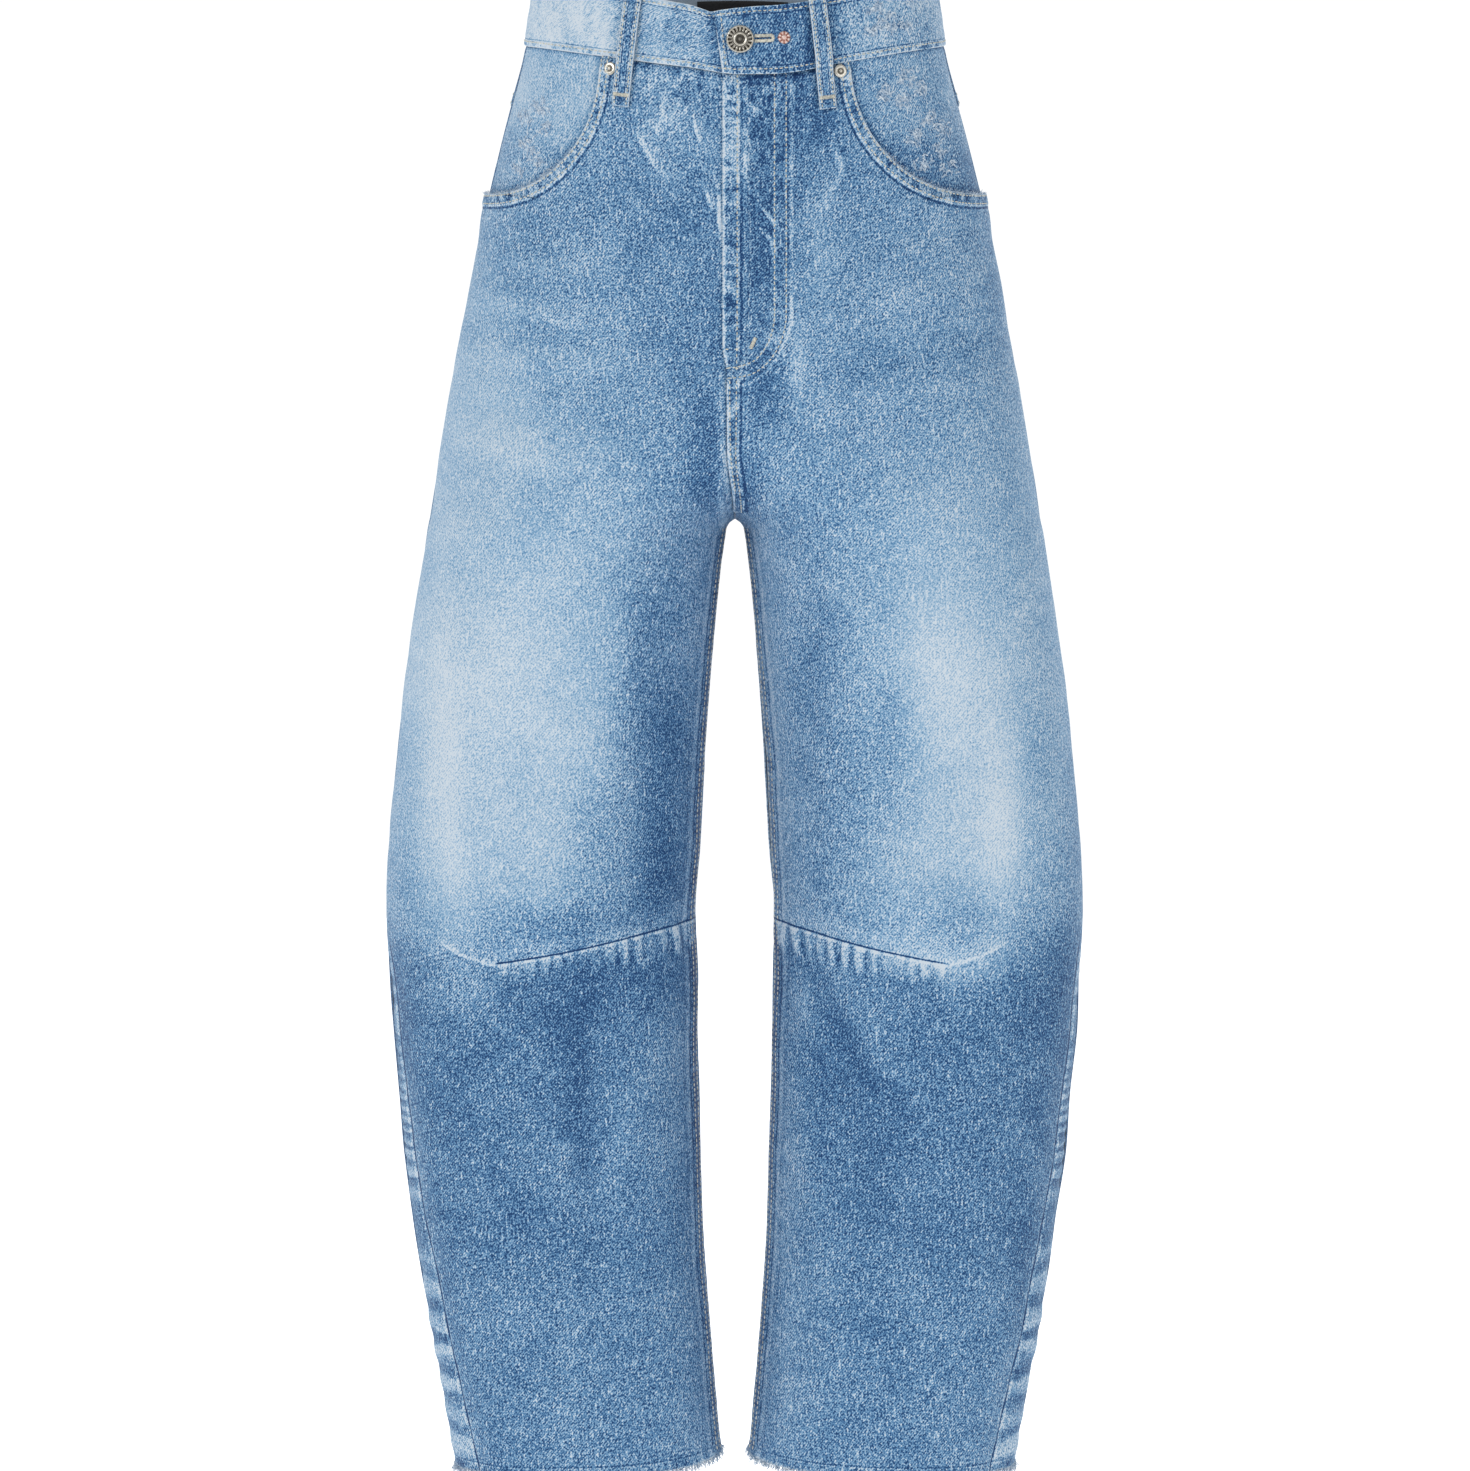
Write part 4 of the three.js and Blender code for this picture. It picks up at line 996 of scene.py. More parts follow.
# Washed denim: pale weft flecks through a blue warp, streaks that lean a little, and a fine twill.
# A noise has a scale, a turn, a stretch down the cloth, a detail and an amount.
denimLook = {
    "tones": ((0.0, (24, 60, 106)), (0.25, (61, 106, 152)), (0.5, (105, 150, 188)),
              (0.75, (157, 187, 212)), (1.0, (206, 217, 227))),
    "wrongSide": (150, 165, 180),
    "cloud": (24, 0.0, 0.8, 4.0, 0.34),
    "marble": (170, -0.20, 0.70, 3.0, 0.26),
    "streak": (600, -0.24, 0.22, 1.0, 0.46),
    "fleck": (780, -0.20, 0.80, 0.0, 1.00),
    "grain": (1400, 0.5, 0.9, 0.0, 1.00),
    "spreadDark": 1.25, "spreadPale": 0.66, "spreadFrom": 0.42, "spreadTo": 0.84,
    "twillScale": 205, "twillTurn": 0.70, "twill": 0.20,
    "threadFrom": 0.60, "threadTo": 0.70, "threadPale": 0.17,
    "crumpleScale": 150, "crumple": 1.35,
}


def denimGroup():
    ins = (("Cloth", "NodeSocketVector", None), ("Pale", "NodeSocketFloat", 0.5),
           ("RubAndShade", "NodeSocketFloat", 0.0), ("Crumple", "NodeSocketFloat", 0.0),
           ("Inside", "NodeSocketFloat", 0.0))
    outs = (("Color", "NodeSocketColor"), ("Roughness", "NodeSocketFloat"), ("Height", "NodeSocketFloat"))
    tree, given, out = newGroup("washedDenim", ins, outs)
    look, where = denimLook, given["Cloth"]
    layers = {}
    speckle = 0.0
    for name in ("cloud", "marble", "streak", "fleck", "grain"):
        scale, lean, stretch, detail, amount = look[name]
        layers[name] = noiseAt(tree, where, scale, lean, (1, stretch, 1), detail, 0.6)
        middle = calculate(tree, "SUBTRACT", layers[name], 0.5)
        speckle = calculate(tree, "MULTIPLY_ADD", middle, amount, speckle)
    mapping = {"Vector": where, "Rotation": (0, 0, look["twillTurn"])}
    turned = newNode(tree, "ShaderNodeMapping", None, mapping)
    waveInputs = {"Vector": turned.outputs[0], "Scale": look["twillScale"], "Distortion": 1.5,
                  "Detail": 1.0}
    twill = newNode(tree, "ShaderNodeTexWave", None, waveInputs).outputs["Fac"]
    shown = calculate(tree, "MULTIPLY", layers["cloud"], look["twill"] * 2)
    speckle = calculate(tree, "MULTIPLY_ADD", calculate(tree, "SUBTRACT", twill, 0.5), shown, speckle)
    paler = stepUp(tree, given["Pale"], look["spreadFrom"], look["spreadTo"])
    spread = calculate(tree, "MULTIPLY_ADD", paler, look["spreadPale"] - look["spreadDark"],
                       look["spreadDark"])
    tone = calculate(tree, "ADD", given["Pale"], given["RubAndShade"])
    tone = calculate(tree, "MULTIPLY_ADD", speckle, spread, tone)
    thread = stepUp(tree, layers["streak"], look["threadFrom"], look["threadTo"])
    threadShown = calculate(tree, "MULTIPLY", spread, look["threadPale"])
    tone = calculate(tree, "MULTIPLY_ADD", thread, threadShown, tone)
    # crumpled cloth shows crisp worn ridges between darker hollows
    fine = noiseAt(tree, where, look["crumpleScale"], 0.0, (1, 0.7, 1), 3.0, 0.62)
    ridge = calculate(tree, "ABSOLUTE", calculate(tree, "SUBTRACT", fine, 0.5))
    ridge = calculate(tree, "MULTIPLY_ADD", ridge, -7.0, 1.0)
    ridge = calculate(tree, "MAXIMUM", ridge, -0.5)
    strength = calculate(tree, "MULTIPLY", given["Crumple"], look["crumple"] * 0.17)
    tone = calculate(tree, "MULTIPLY_ADD", ridge, strength, tone)
    ramp = newNode(tree, "ShaderNodeValToRGB", None, {"Fac": tone})
    elements = ramp.color_ramp.elements
    while len(elements) < len(look["tones"]):
        elements.new(0.5)
    for element, (position, colour) in zip(elements, look["tones"]):
        element.position = position
        element.color = srgb(*colour)
    colours = {"Fac": given["Inside"], "Color1": ramp.outputs["Color"], "Color2": srgb(*look["wrongSide"])}
    wrong = newNode(tree, "ShaderNodeMixRGB", None, colours)
    tree.links.new(wrong.outputs[0], out["Color"])
    tree.links.new(calculate(tree, "MULTIPLY_ADD", given["Pale"], 0.12, 0.78), out["Roughness"])
    height = calculate(tree, "MULTIPLY", layers["fleck"], 0.5)
    height = calculate(tree, "MULTIPLY_ADD", layers["streak"], 0.5, height)
    height = calculate(tree, "MULTIPLY_ADD", twill, 0.2, height)
    crumpled = calculate(tree, "MULTIPLY", given["Crumple"], 0.25)
    tree.links.new(calculate(tree, "MULTIPLY_ADD", ridge, crumpled, height), out["Height"])
    return tree


# The wear of sewn strips and darts, drawn from a place's distance to them, with a painted shadow just past
# a strip's edge and painted shade beside a worn crease line.
sewnLook = {"edge": 0.42, "lip": 0.20, "shadow": -0.34, "base": -0.02, "ripple": 1.35,
            "seam": -0.95, "seamHalf": 0.75, "worn": 0.30, "gather": 0.30, "crease": 0.36,
            "creaseShade": -0.16}


# A soft bump round a middle value, from 0 at its ends to 1.
def tent(tree, value, middle, half):
    away = calculate(tree, "ABSOLUTE", calculate(tree, "SUBTRACT", value, middle))
    found = calculate(tree, "MAXIMUM", calculate(tree, "MULTIPLY_ADD", away, -1 / half, 1.0), 0.0)
    return calculate(tree, "MULTIPLY", found, calculate(tree, "MULTIPLY_ADD", found, -1.0, 2.0))


def sewnGroup():
    ins = (("Strip", "NodeSocketVector", None), ("Dart", "NodeSocketVector", None),
           ("Crease", "NodeSocketVector", None), ("Gather", "NodeSocketFloat", 0.0))
    outs = (("Tone", "NodeSocketFloat"), ("Height", "NodeSocketFloat"))
    tree, given, out = newGroup("sewnWearAndShade", ins, outs)
    look = sewnLook
    strip = newNode(tree, "ShaderNodeSeparateXYZ", None, {0: given["Strip"]}).outputs
    stripPlace = combine(tree, calculate(tree, "MULTIPLY", strip[0], 0.55), strip[1], 3.0)
    ruffle = calculate(tree, "SUBTRACT", noiseAt(tree, stripPlace, 1.5, detail=2.0), 0.5)
    inner = calculate(tree, "SUBTRACT", stepUp(tree, strip[0], 0.0, 0.10),
                      stepUp(tree, strip[0], 0.90, 1.04))
    uneven = noiseAt(tree, stripPlace, 2.6, detail=1.0)
    worn = calculate(tree, "MULTIPLY_ADD", uneven, 1.4, 0.3)
    tone = calculate(tree, "MULTIPLY", tent(tree, strip[0], 0.07, 0.13), look["edge"])
    tone = calculate(tree, "MULTIPLY", tone, worn)
    tone = calculate(tree, "MULTIPLY_ADD", tent(tree, strip[0], 0.93, 0.09), look["lip"], tone)
    # painted shadow just past the strip's raised edge
    tone = calculate(tree, "MULTIPLY_ADD", tent(tree, strip[0], 1.10, 0.13), look["shadow"], tone)
    inside = calculate(tree, "MULTIPLY_ADD", ruffle, look["ripple"], look["base"])
    tone = calculate(tree, "MULTIPLY_ADD", inner, inside, tone)
    tone = calculate(tree, "MULTIPLY", tone, strip[2])
    dart = newNode(tree, "ShaderNodeSeparateXYZ", None, {0: given["Dart"]}).outputs
    dartPlace = combine(tree, calculate(tree, "MULTIPLY", dart[0], 0.035), dart[1], 7.0)
    bend = calculate(tree, "SUBTRACT", noiseAt(tree, dartPlace, 1.1), 0.5)
    bent = calculate(tree, "MULTIPLY_ADD", bend, 0.9, dart[1])
    wave = calculate(tree, "SINE", calculate(tree, "MULTIPLY", bent, 2 * math.pi))
    second = calculate(tree, "SINE", calculate(tree, "MULTIPLY", bent, 4.7 * math.pi))
    wave = calculate(tree, "MULTIPLY_ADD", second, 0.35, calculate(tree, "MULTIPLY", wave, 1.25))
    wave = calculate(tree, "MAXIMUM", calculate(tree, "MINIMUM", wave, 1.0), -1.0)
    pull = calculate(tree, "MULTIPLY", wave, look["gather"])
    pull = calculate(tree, "MULTIPLY", pull, given["Gather"])
    line = calculate(tree, "MULTIPLY", tent(tree, dart[0], 0.0, look["seamHalf"]), look["seam"])
    bright = calculate(tree, "MULTIPLY_ADD", wave, 0.12, look["worn"])
    lip = calculate(tree, "MULTIPLY", tent(tree, dart[0], 1.6, 1.1), bright)
    line = calculate(tree, "MULTIPLY", calculate(tree, "ADD", line, lip), dart[2])
    tone = calculate(tree, "ADD", tone, calculate(tree, "ADD", pull, line))
    crease = newNode(tree, "ShaderNodeSeparateXYZ", None, {0: given["Crease"]}).outputs
    bright = calculate(tree, "MULTIPLY", tent(tree, crease[0], 0.0, 1.3), look["crease"])
    # painted shade beside the worn crease line
    bright = calculate(tree, "MULTIPLY_ADD", tent(tree, crease[0], 2.2, 1.5), look["creaseShade"], bright)
    tone = calculate(tree, "MULTIPLY_ADD", bright, crease[1], tone)
    tree.links.new(tone, out["Tone"])
    ruffled = calculate(tree, "MULTIPLY", inner, ruffle)
    height = calculate(tree, "MULTIPLY", ruffled, calculate(tree, "MULTIPLY", strip[2], 1.6))
    tree.links.new(calculate(tree, "MULTIPLY_ADD", line, 0.5, height), out["Height"])
    return tree


def newMaterial(name, constants):
    material = bpy.data.materials.new(name)
    material.use_nodes = True
    shader = material.node_tree.nodes["Principled BSDF"]
    for key, value in constants.items():
        shader.inputs[key].default_value = value
    return material, material.node_tree, shader


def readMark(tree, name):
    return newNode(tree, "ShaderNodeAttribute", {"attribute_name": name}).outputs["Fac"]


def bumpInto(tree, shader, height, strength, distance):
    inputs = {"Strength": strength, "Distance": distance, "Height": height}
    bump = newNode(tree, "ShaderNodeBump", None, inputs)
    tree.links.new(bump.outputs[0], shader.inputs["Normal"])


def denimMaterial(group, sewn):
    material, tree, shader = newMaterial("washedDenim", {"Specular IOR Level": 0.2, "Sheen Weight": 0.08})
    where = newNode(tree, "ShaderNodeUVMap", {"uv_map": "cloth"}).outputs[0]
    denim = newNode(tree, "ShaderNodeGroup", {"node_tree": group})
    wearAndShade = newNode(tree, "ShaderNodeGroup", {"node_tree": sewn})
    tree.links.new(where, denim.inputs["Cloth"])
    for name, socket in (("strip", "Strip"), ("dart", "Dart"), ("crease", "Crease")):
        read = newNode(tree, "ShaderNodeAttribute", {"attribute_name": name})
        tree.links.new(read.outputs["Vector"], wearAndShade.inputs[socket])
    tree.links.new(readMark(tree, "gather"), wearAndShade.inputs["Gather"])
    for name, socket in (("pale", "Pale"), ("crumple", "Crumple"), ("inside", "Inside")):
        tree.links.new(readMark(tree, name), denim.inputs[socket])
    tree.links.new(calculate(tree, "ADD", readMark(tree, "rubAndShade"), wearAndShade.outputs["Tone"]), denim.inputs["RubAndShade"])
    tree.links.new(denim.outputs["Color"], shader.inputs["Base Color"])
    tree.links.new(denim.outputs["Roughness"], shader.inputs["Roughness"])
    bumpInto(tree, shader, calculate(tree, "ADD", denim.outputs["Height"], wearAndShade.outputs["Height"]),
             0.6, 0.0005)
    return material


# Thread, tape and metal take a light mottle from Object coordinates.
def mottledMaterial(name, dark, light, scale, constants, bump, ramp=(0.35, 0.65), hollow=None):
    material, tree, shader = newMaterial(name, constants)
    where = newNode(tree, "ShaderNodeTexCoord").outputs["Object"]
    value = noiseAt(tree, where, scale, detail=3.0)
    colour = newNode(tree, "ShaderNodeValToRGB", None, {"Fac": value})
    for element, position, shade in zip(colour.color_ramp.elements, ramp, (dark, light)):
        element.position = position
        element.color = srgb(*shade)
    made = colour.outputs["Color"]
    if hollow:
        colours = {"Fac": readMark(tree, "hollow"), "Color1": made, "Color2": srgb(*hollow)}
        made = newNode(tree, "ShaderNodeMixRGB", None, colours).outputs[0]
    tree.links.new(made, shader.inputs["Base Color"])
    bumpInto(tree, shader, value, bump, 0.0003)
    return material


denim = denimMaterial(denimGroup(), sewnGroup())
ecruThread = mottledMaterial("ecruThread", (176, 178, 168), (236, 232, 218), 700,
                             {"Roughness": 0.75}, 0.3)
paleThread = mottledMaterial("paleThread", (112, 146, 180), (214, 226, 236), 420,
                             {"Roughness": 0.85}, 0.2)
blackTape = mottledMaterial("blackTape", (12, 12, 14), (30, 30, 34), 900, {"Roughness": 0.8}, 0.6)
steel = mottledMaterial("antiqueSteel", (176, 172, 160), (224, 220, 210), 700,
                        {"Metallic": 1.0, "Roughness": 0.27}, 0.15, hollow=(40, 36, 32))
copper = mottledMaterial("paleCopper", (222, 186, 174), (250, 236, 228), 800,
                         {"Metallic": 0.7, "Roughness": 0.36}, 0.3, hollow=(150, 92, 80))
print("materials built")

words = {-1: "Right", 1: "Left"}
nodeWords = {-1: "right", 1: "left"}

# How finely each piece is divided: its points or its steps, in rows and in columns.
fineness = {"pocketRows": 72, "hipRow": 1.8, "crotchRow": 2.6, "legRow": 2.9, "inner": 58, "outer": 54,
            "lap": 8, "backRow": 3.3, "back": 84, "yoke": 26, "hip": 46, "patch": (56, 54), "band": 84,
            "loop": (50, 17), "tape": (14, 31)}


# The fronts. Their rows follow the pocket opening above and the knee dart below.
def frontGrid(side):
    fine = fineness
    turn = np.linspace(0, np.pi / 2, fine["pocketRows"])
    drops = np.concatenate([waist["height"] + pocket["depth"] * np.sin(turn),
                            stepsTo(pocketBottom + 0.9, 260, fine["hipRow"]),
                            stepsTo(262, fly["lapEnd"], fine["crotchRow"]),
                            stepsTo(fly["lapEnd"] + 1.6, leg["hem"], fine["legRow"])])
    down = np.clip((drops - waist["height"]) / pocket["depth"], 0, 1)
    edge = pocket["outer"] - pocket["width"][side] * np.sqrt(1 - down**2)
    outer = np.where(drops < pocketBottom, shareAt(edge, drops), 1.0)
    even = np.concatenate([np.linspace(0, 0.4, fine["inner"])[:-1], np.linspace(0.4, 1, fine["outer"])])
    share = outer[:, None] * even[None, :]
    if side > 0:
        lapped = drops <= fly["lapEnd"] + 0.01
        lap = -shareAt(lapAt(drops), drops)
        first = np.linspace(0, 1, fine["lap"])[None, :-1]
        beside = np.where(lapped[:, None], lap[:, None] * (1 - first), 0.012 * first)
        rest = lerp(np.where(lapped, 0.0, 0.012)[:, None], outer[:, None], even[None, :])
        share = np.concatenate([beside, rest], axis=1)
    return share, rowDrop("front", np.maximum(share, 0), drops[:, None])


for side in (-1, 1):
    share, drop = frontGrid(side)
    panel("front" + words[side], side, "front", share, drop, frontFinish(side, share, drop), 60)
print("fronts cut")

for side in (-1, 1):
    columns = fineness["back"]
    drops = stepsTo(yokeShape["side"] + halfGap, leg["hem"], fineness["backRow"])
    share = np.broadcast_to(np.linspace(0, 1, columns)[None, :] ** 1.05, (len(drops), columns))
    drop = backDrop(share, drops[:, None])
    panel("back" + words[side], side, "back", share, drop, backFinish(side, share, drop), 105)
    down = np.linspace(0, 1, fineness["yoke"])[:, None]
    share = np.broadcast_to(np.linspace(0, 1, columns)[None, :], (fineness["yoke"], columns))
    drop = lerp(waist["height"] + halfGap, yokeSeam(share) - halfGap, down)
    panel("yoke" + words[side], side, "back", share, drop, yokeFinish(side, share, drop), 105)
    width = pocket["width"][side] + pocket["underlap"]
    depth = pocket["depth"] + pocket["underlap"]
    drops = waist["height"] + halfGap + depth * np.sin(np.linspace(0, math.radians(83), fineness["hip"]))
    down = np.clip((drops - waist["height"]) / depth, 0, 1)
    inner = shareAt(pocket["outer"] - width * np.sqrt(1 - down**2), drops)
    share = lerp(inner[:, None], 1, np.linspace(0, 1, fineness["hip"])[None, :])
    drop = drops[:, None] + 0 * share
    panel("hip" + words[side], side, "front", share, drop, hipFinish(side, share, drop), 120)
print("backs, yokes and hips cut")

# Back pockets: square corners above, a blunt point below, and a hemmed top.
patch = {"top": 126, "height": 148, "side": 118, "inner": 34, "halfTop": 70, "halfLow": 62,
         "slant": 0.1, "gap": 0.6}


def patchPlace(down, turn):
    across = turn * lerp(patch["halfTop"], patch["halfLow"], down)
    length = lerp(patch["height"], patch["side"], np.abs(turn))
    drop = patch["top"] + length * down - patch["slant"] * across
    share = shareRound(patch["inner"] + patch["halfTop"] + across, drop)
    return share, drop, across, length * down


def patchFinish(side, down, turn):
    share, drop, across, depth = patchPlace(down, turn)
    base = backFinish(side, share, drop).out
    pale = 0.40 + 0.22 * bell((depth - 92) / 46) * bell(across / 58)
    finish = Finish(base + patch["gap"] + cloth["thick"], pale)
    edge = lerp(patch["halfTop"], patch["halfLow"], down) * (1 - np.abs(turn))
    low = (1 - down) * lerp(patch["height"], patch["side"], np.abs(turn))
    addStrip(finish, np.minimum(edge, low * 0.95), depth + across, 8.5, rise=0.4, ruffle=4.4, seed=171)
    addStrip(finish, depth, across, 14, rise=0.8, ruffle=5.0, seed=173)
    finish.add(0.5 * mottle(across, depth, 24, 175 + side), 0.05 * mottle(across, depth, 8, 177))
    return finish, share, drop


for side in (-1, 1):
    down, turn = (np.linspace(low, 1, count) for low, count in zip((0, -1), fineness["patch"]))
    finish, share, drop = patchFinish(side, *np.meshgrid(down, turn, indexing="ij"))
    panel("backPocket" + words[side], side, "back", share, drop, finish, 100)

# The waistband runs from its lapped front end, round by the wearer's left, to its end under the lap.
band = {"inside": 1.2, "outside": 1.3, "lap": 9.5, "flatTo": 40, "downTo": 72, "under": 34, "step": 1.9,
        "lapTop": 1.5, "lapLow": 0.8, "middle": waist["height"] / 2}
bandThick = band["inside"] + band["outside"]
bandLift = bandThick + cloth["gap"]


# The band's columns in order: side, half, share, and 1 where the band isn't under its own lap.
def bandRound():
    lap = -shareAt(stepsTo(band["lap"], 0.6, band["step"]), band["middle"])
    quarter = np.linspace(0, 1, fineness["band"])
    under = shareAt(stepsTo(0.5, band["under"], band["step"]), band["middle"])
    rows = [(1, "front", s, 1.0) for s in (*lap, *quarter)]
    rows += [(1, "back", s, 1.0) for s in quarter[::-1][1:]] + [(-1, "back", s, 1.0) for s in quarter[1:]]
    rows += [(-1, "front", s, 1.0) for s in quarter[::-1][1:]]
    return rows + [(1, "front", s, 0.0) for s in under]


# How far the band stands out beside its lapped end, as a share of its lift.
def bandSlope(x):
    return 1 - smooth((x - band["flatTo"]) / (band["downTo"] - band["flatTo"]))


def bandFinish(side, half, share, drop, lapped):
    x = distanceOut(share, drop)
    signed = np.where(share < 0, -x, x)
    pale = {("front", -1): 0.77, ("front", 1): 0.53, ("back", -1): 0.52, ("back", 1): 0.52}[(half, side)]
    along = signed * side + (500 if half == "back" else 0)
    base = pale + 0.10 * mottle(along, drop, 20, 181) + 0.05 * mottle(along, drop * 0.3, 7, 183)
    if half == "front":
        base = base - bell((x - 22) / 34) * (0.30 if side < 0 else 0.16)
        # painted shadow on the band beside each front belt loop
        for loopSide, loopX in ((-1, 66), (1, 53)):
            if side == loopSide:
                base = base - 0.20 * bell((np.abs(x - loopX) - 7) / 3.5)
        if side > 0:
            base = base - 0.24 * smooth((signed + 6) / 10) * (1 - smooth((signed - 56) / 30))
        else:
            # painted shadow on the under band beside the lapped end
            base = base - 0.30 * (1 - smooth((x + lapEndAt(drop) - 1) / 7))
    out = bandLift * bandSlope(np.maximum(signed, 0)) * lapped * (half == "front") * (side > 0)
    finish = Finish(out + band["outside"], base)
    pucker = mottle(along, drop * 0.22, 5.2, 185) + 0.5 * mottle(along, drop * 0.5, 2.8, 187)
    fromEdge = np.minimum(drop, waist["height"] - drop)
    finish.add(0.32 * pucker * smooth(fromEdge / 6), 0.08 * pucker, 0.7)
    finish.add(-0.7 * bell((fromEdge + 0.3) / 1.7) - 0.25 * bell((fromEdge - 3.2) / 1.0))
    fromEnd = np.where((side > 0) & (half == "front") & (lapped > 0), signed - lapEndAt(drop), 99)
    strength = 1.1 + 0.9 * bell(fromEnd / 4)
    addStrip(finish, np.minimum(fromEdge, fromEnd), along, 4.2, rise=0, ruffle=3.8,
             strength=strength, seed=189)
    finish.add(-0.6 * bell((fromEnd + 0.3) / 1.6), 0.20 * bell(fromEnd / 1.6))
    if half == "front" and side > 0:
        # The keyhole sinks, with painted shade in its slit.
        eye = np.hypot(signed - button["x"], drop - button["drop"])
        slit = np.hypot(np.maximum(0, np.abs(signed - 14) - 9.5), drop - button["drop"])
        finish.add(-0.8 * lapped * bell(np.minimum(eye / 4, slit / 1.2)), -0.2 * lapped * bell(slit / 1.3))
    return finish


# Where the lapped end of the band lies, slanting inwards on its way down.
def lapEndAt(drop):
    return -band["lap"] * lerp(band["lapTop"], band["lapLow"], drop / waist["height"])


button = {"x": 3.2, "drop": 19.2}


def bandFace(row, drop, inside=False):
    side, half, share, lapped = row
    slant = lerp(band["lapTop"], band["lapLow"], drop / waist["height"]) if share < 0 else 1
    share = share * slant + 0 * drop
    finish = bandFinish(side, half, share, drop, lapped)
    point, way = place(side, half, share, drop, finish.out - (bandThick if inside else 0))
    fade = smooth(-point[..., 1] / 25) if half == "front" else 0
    point[..., 2] -= bandDipAt(point[..., 0], drop) * fade
    if row[2] > 0.999:
        point[..., 1] = 0
    return point, way, finish


def makeBand():
    columns = bandRound()
    edge = waist["height"] - 2.4
    drops = np.concatenate([[0, 0.5, 1.2], stepsTo(2.4, edge, 2.3), [38.8, 39.5, 39.85]])
    faces = [bandFace(row, drops) for row in columns]
    outer = np.stack([f[0] for f in faces], axis=1)
    inner = np.stack([bandFace(row, drops, True)[0] for row in columns], axis=1)
    finish = Finish(np.stack([f[2].out for f in faces], axis=1), 0)
    for mark in ("pale", "rubAndShade", "crumple", "strip"):
        setattr(finish, mark, np.stack([getattr(f[2], mark) for f in faces], axis=1))
    shell("waistband", outer, inner, outer, drops[:, None], 1, 0, finish, denim)


makeBand()
print("waistband and back pockets cut")

# Belt loops lie on the band and the cloth and arch between their stitched ends.
loop = {"half": 5.2, "thick": 1.9, "top": -1.2, "bottom": 71.5, "arch": 1.9, "archShape": 0.7, "settle": 9}
loopLength = loop["bottom"] - loop["top"]
loops = named("name side half topX bottomX", (
    ("beltLoopFrontRight", -1, "front", 63.5, 72),
    ("beltLoopFrontLeft", 1, "front", 50.5, 58.5),
    ("beltLoopBackRight", -1, "back", 98, 103),
    ("beltLoopBackLeft", 1, "back", 98, 103),
    ("beltLoopCentreBack", 1, "back", 0, 0),
))


# How far out the band and the cloth below it lie, where a loop is sewn down on them.
def loopSeat(side, half, x, drop):
    lift = bandSlope(x) if side > 0 and half == "front" else 0
    bandOut = band["outside"] + bandLift * lift
    share = shareAt(x, drop)
    clothOut = 0 * x
    if half == "front":
        clothOut = largeRelief(side, "front", share, drop) + frontLift(side, share, drop)
    below = smooth((drop - waist["height"] - 1) / loop["settle"])
    return lerp(np.maximum(bandOut, clothOut), clothOut, below)


def loopPlace(spec, s, across, raised):
    drop = lerp(loop["top"], loop["bottom"], s)
    middle = lerp(spec.topX, spec.bottomX, s)
    seatDrop = np.maximum(drop, 0)
    edges = (-loop["half"], 0, loop["half"])
    seats = [loopSeat(spec.side, spec.half, np.abs(middle + edge), seatDrop) for edge in edges]
    arch = loop["arch"] * np.abs(np.sin(np.pi * s)) ** loop["archShape"]
    under = np.maximum(np.maximum(seats[0], seats[1]), seats[2]) + cloth["gap"] + arch
    share = signedShare(middle + across, seatDrop)
    point, way = place(spec.side, spec.half, share, seatDrop, under + raised)
    point[..., 2] += seatDrop - drop
    return point, way


def makeLoop(spec, seed):
    s, turn = (np.linspace(low, 1, count) for low, count in zip((0, -1), fineness["loop"]))
    s, turn = np.meshgrid(s, turn, indexing="ij")
    across = turn * loop["half"]
    fromSide = loop["half"] * (1 - np.abs(turn))
    fromEnd = loopLength * np.minimum(s, 1 - s)
    down = loopLength * s
    finish = Finish(np.full(s.shape, loop["thick"]), 0.47 + 0.10 * mottle(across, down, 9, 191 + seed))
    finish.add(-0.55 * bell(fromSide / 0.9) - 0.4 * bell(fromEnd / 1.0), -0.20 * bell(across / 1.9), 0.6)
    finish.add(-0.3 * bell((fromSide - 1.9) / 0.7) + 0.18 * mottle(across, down, 4, 193 + seed))
    addStrip(finish, np.minimum(fromSide, fromEnd), down, 2.9, rise=0, ruffle=3.1, strength=1.5, seed=195)
    finish.add(0, 0.16 * bell(fromSide / 0.9))
    # the groove at the folded end, with painted shade in it
    finish.add(-0.35 * bell((fromEnd - 6.5) / 1.2), -0.22 * bell((fromEnd - 6.5) / 1.4))
    outer = loopPlace(spec, s, across, finish.out)[0]
    inner = loopPlace(spec, s, across, 0 * s)[0]
    shell(spec.name, outer, inner, outer, loopLength * s, spec.side, 0, finish, denim)


for seed, spec in enumerate(loops):
    makeLoop(spec, seed)

# The bare black tape inside the back of the waist.
tape = {"middle": 5, "half": 30, "top": 23, "height": 25, "thick": 1}
down, turn = (np.linspace(low, 1, count) for low, count in zip((0, -1), fineness["tape"]))
turn, down = np.meshgrid(turn, down, indexing="xy")
tapeX, tapeDrop = tape["middle"] + tape["half"] * turn, tape["top"] + tape["height"] * down
tapeNear = -band["inside"] - cloth["gap"] + 0.12 * mottle(tapeX, tapeDrop, 9, 197)
outer, inner = (place(1, "back", signedShare(tapeX, tapeDrop), tapeDrop, tapeNear - thick)[0]
                for thick in (0, tape["thick"]))
shell("backTape", outer, inner, outer, tapeDrop, 1, 0, Finish(0 * tapeX, 0 * tapeX), blackTape)
print("loops and tape made")

# A row of stitching or a line of fray starts as a guide: points, and the cloth's way out at each.
def guide(points, ways):
    return {"points": points, "ways": ways}


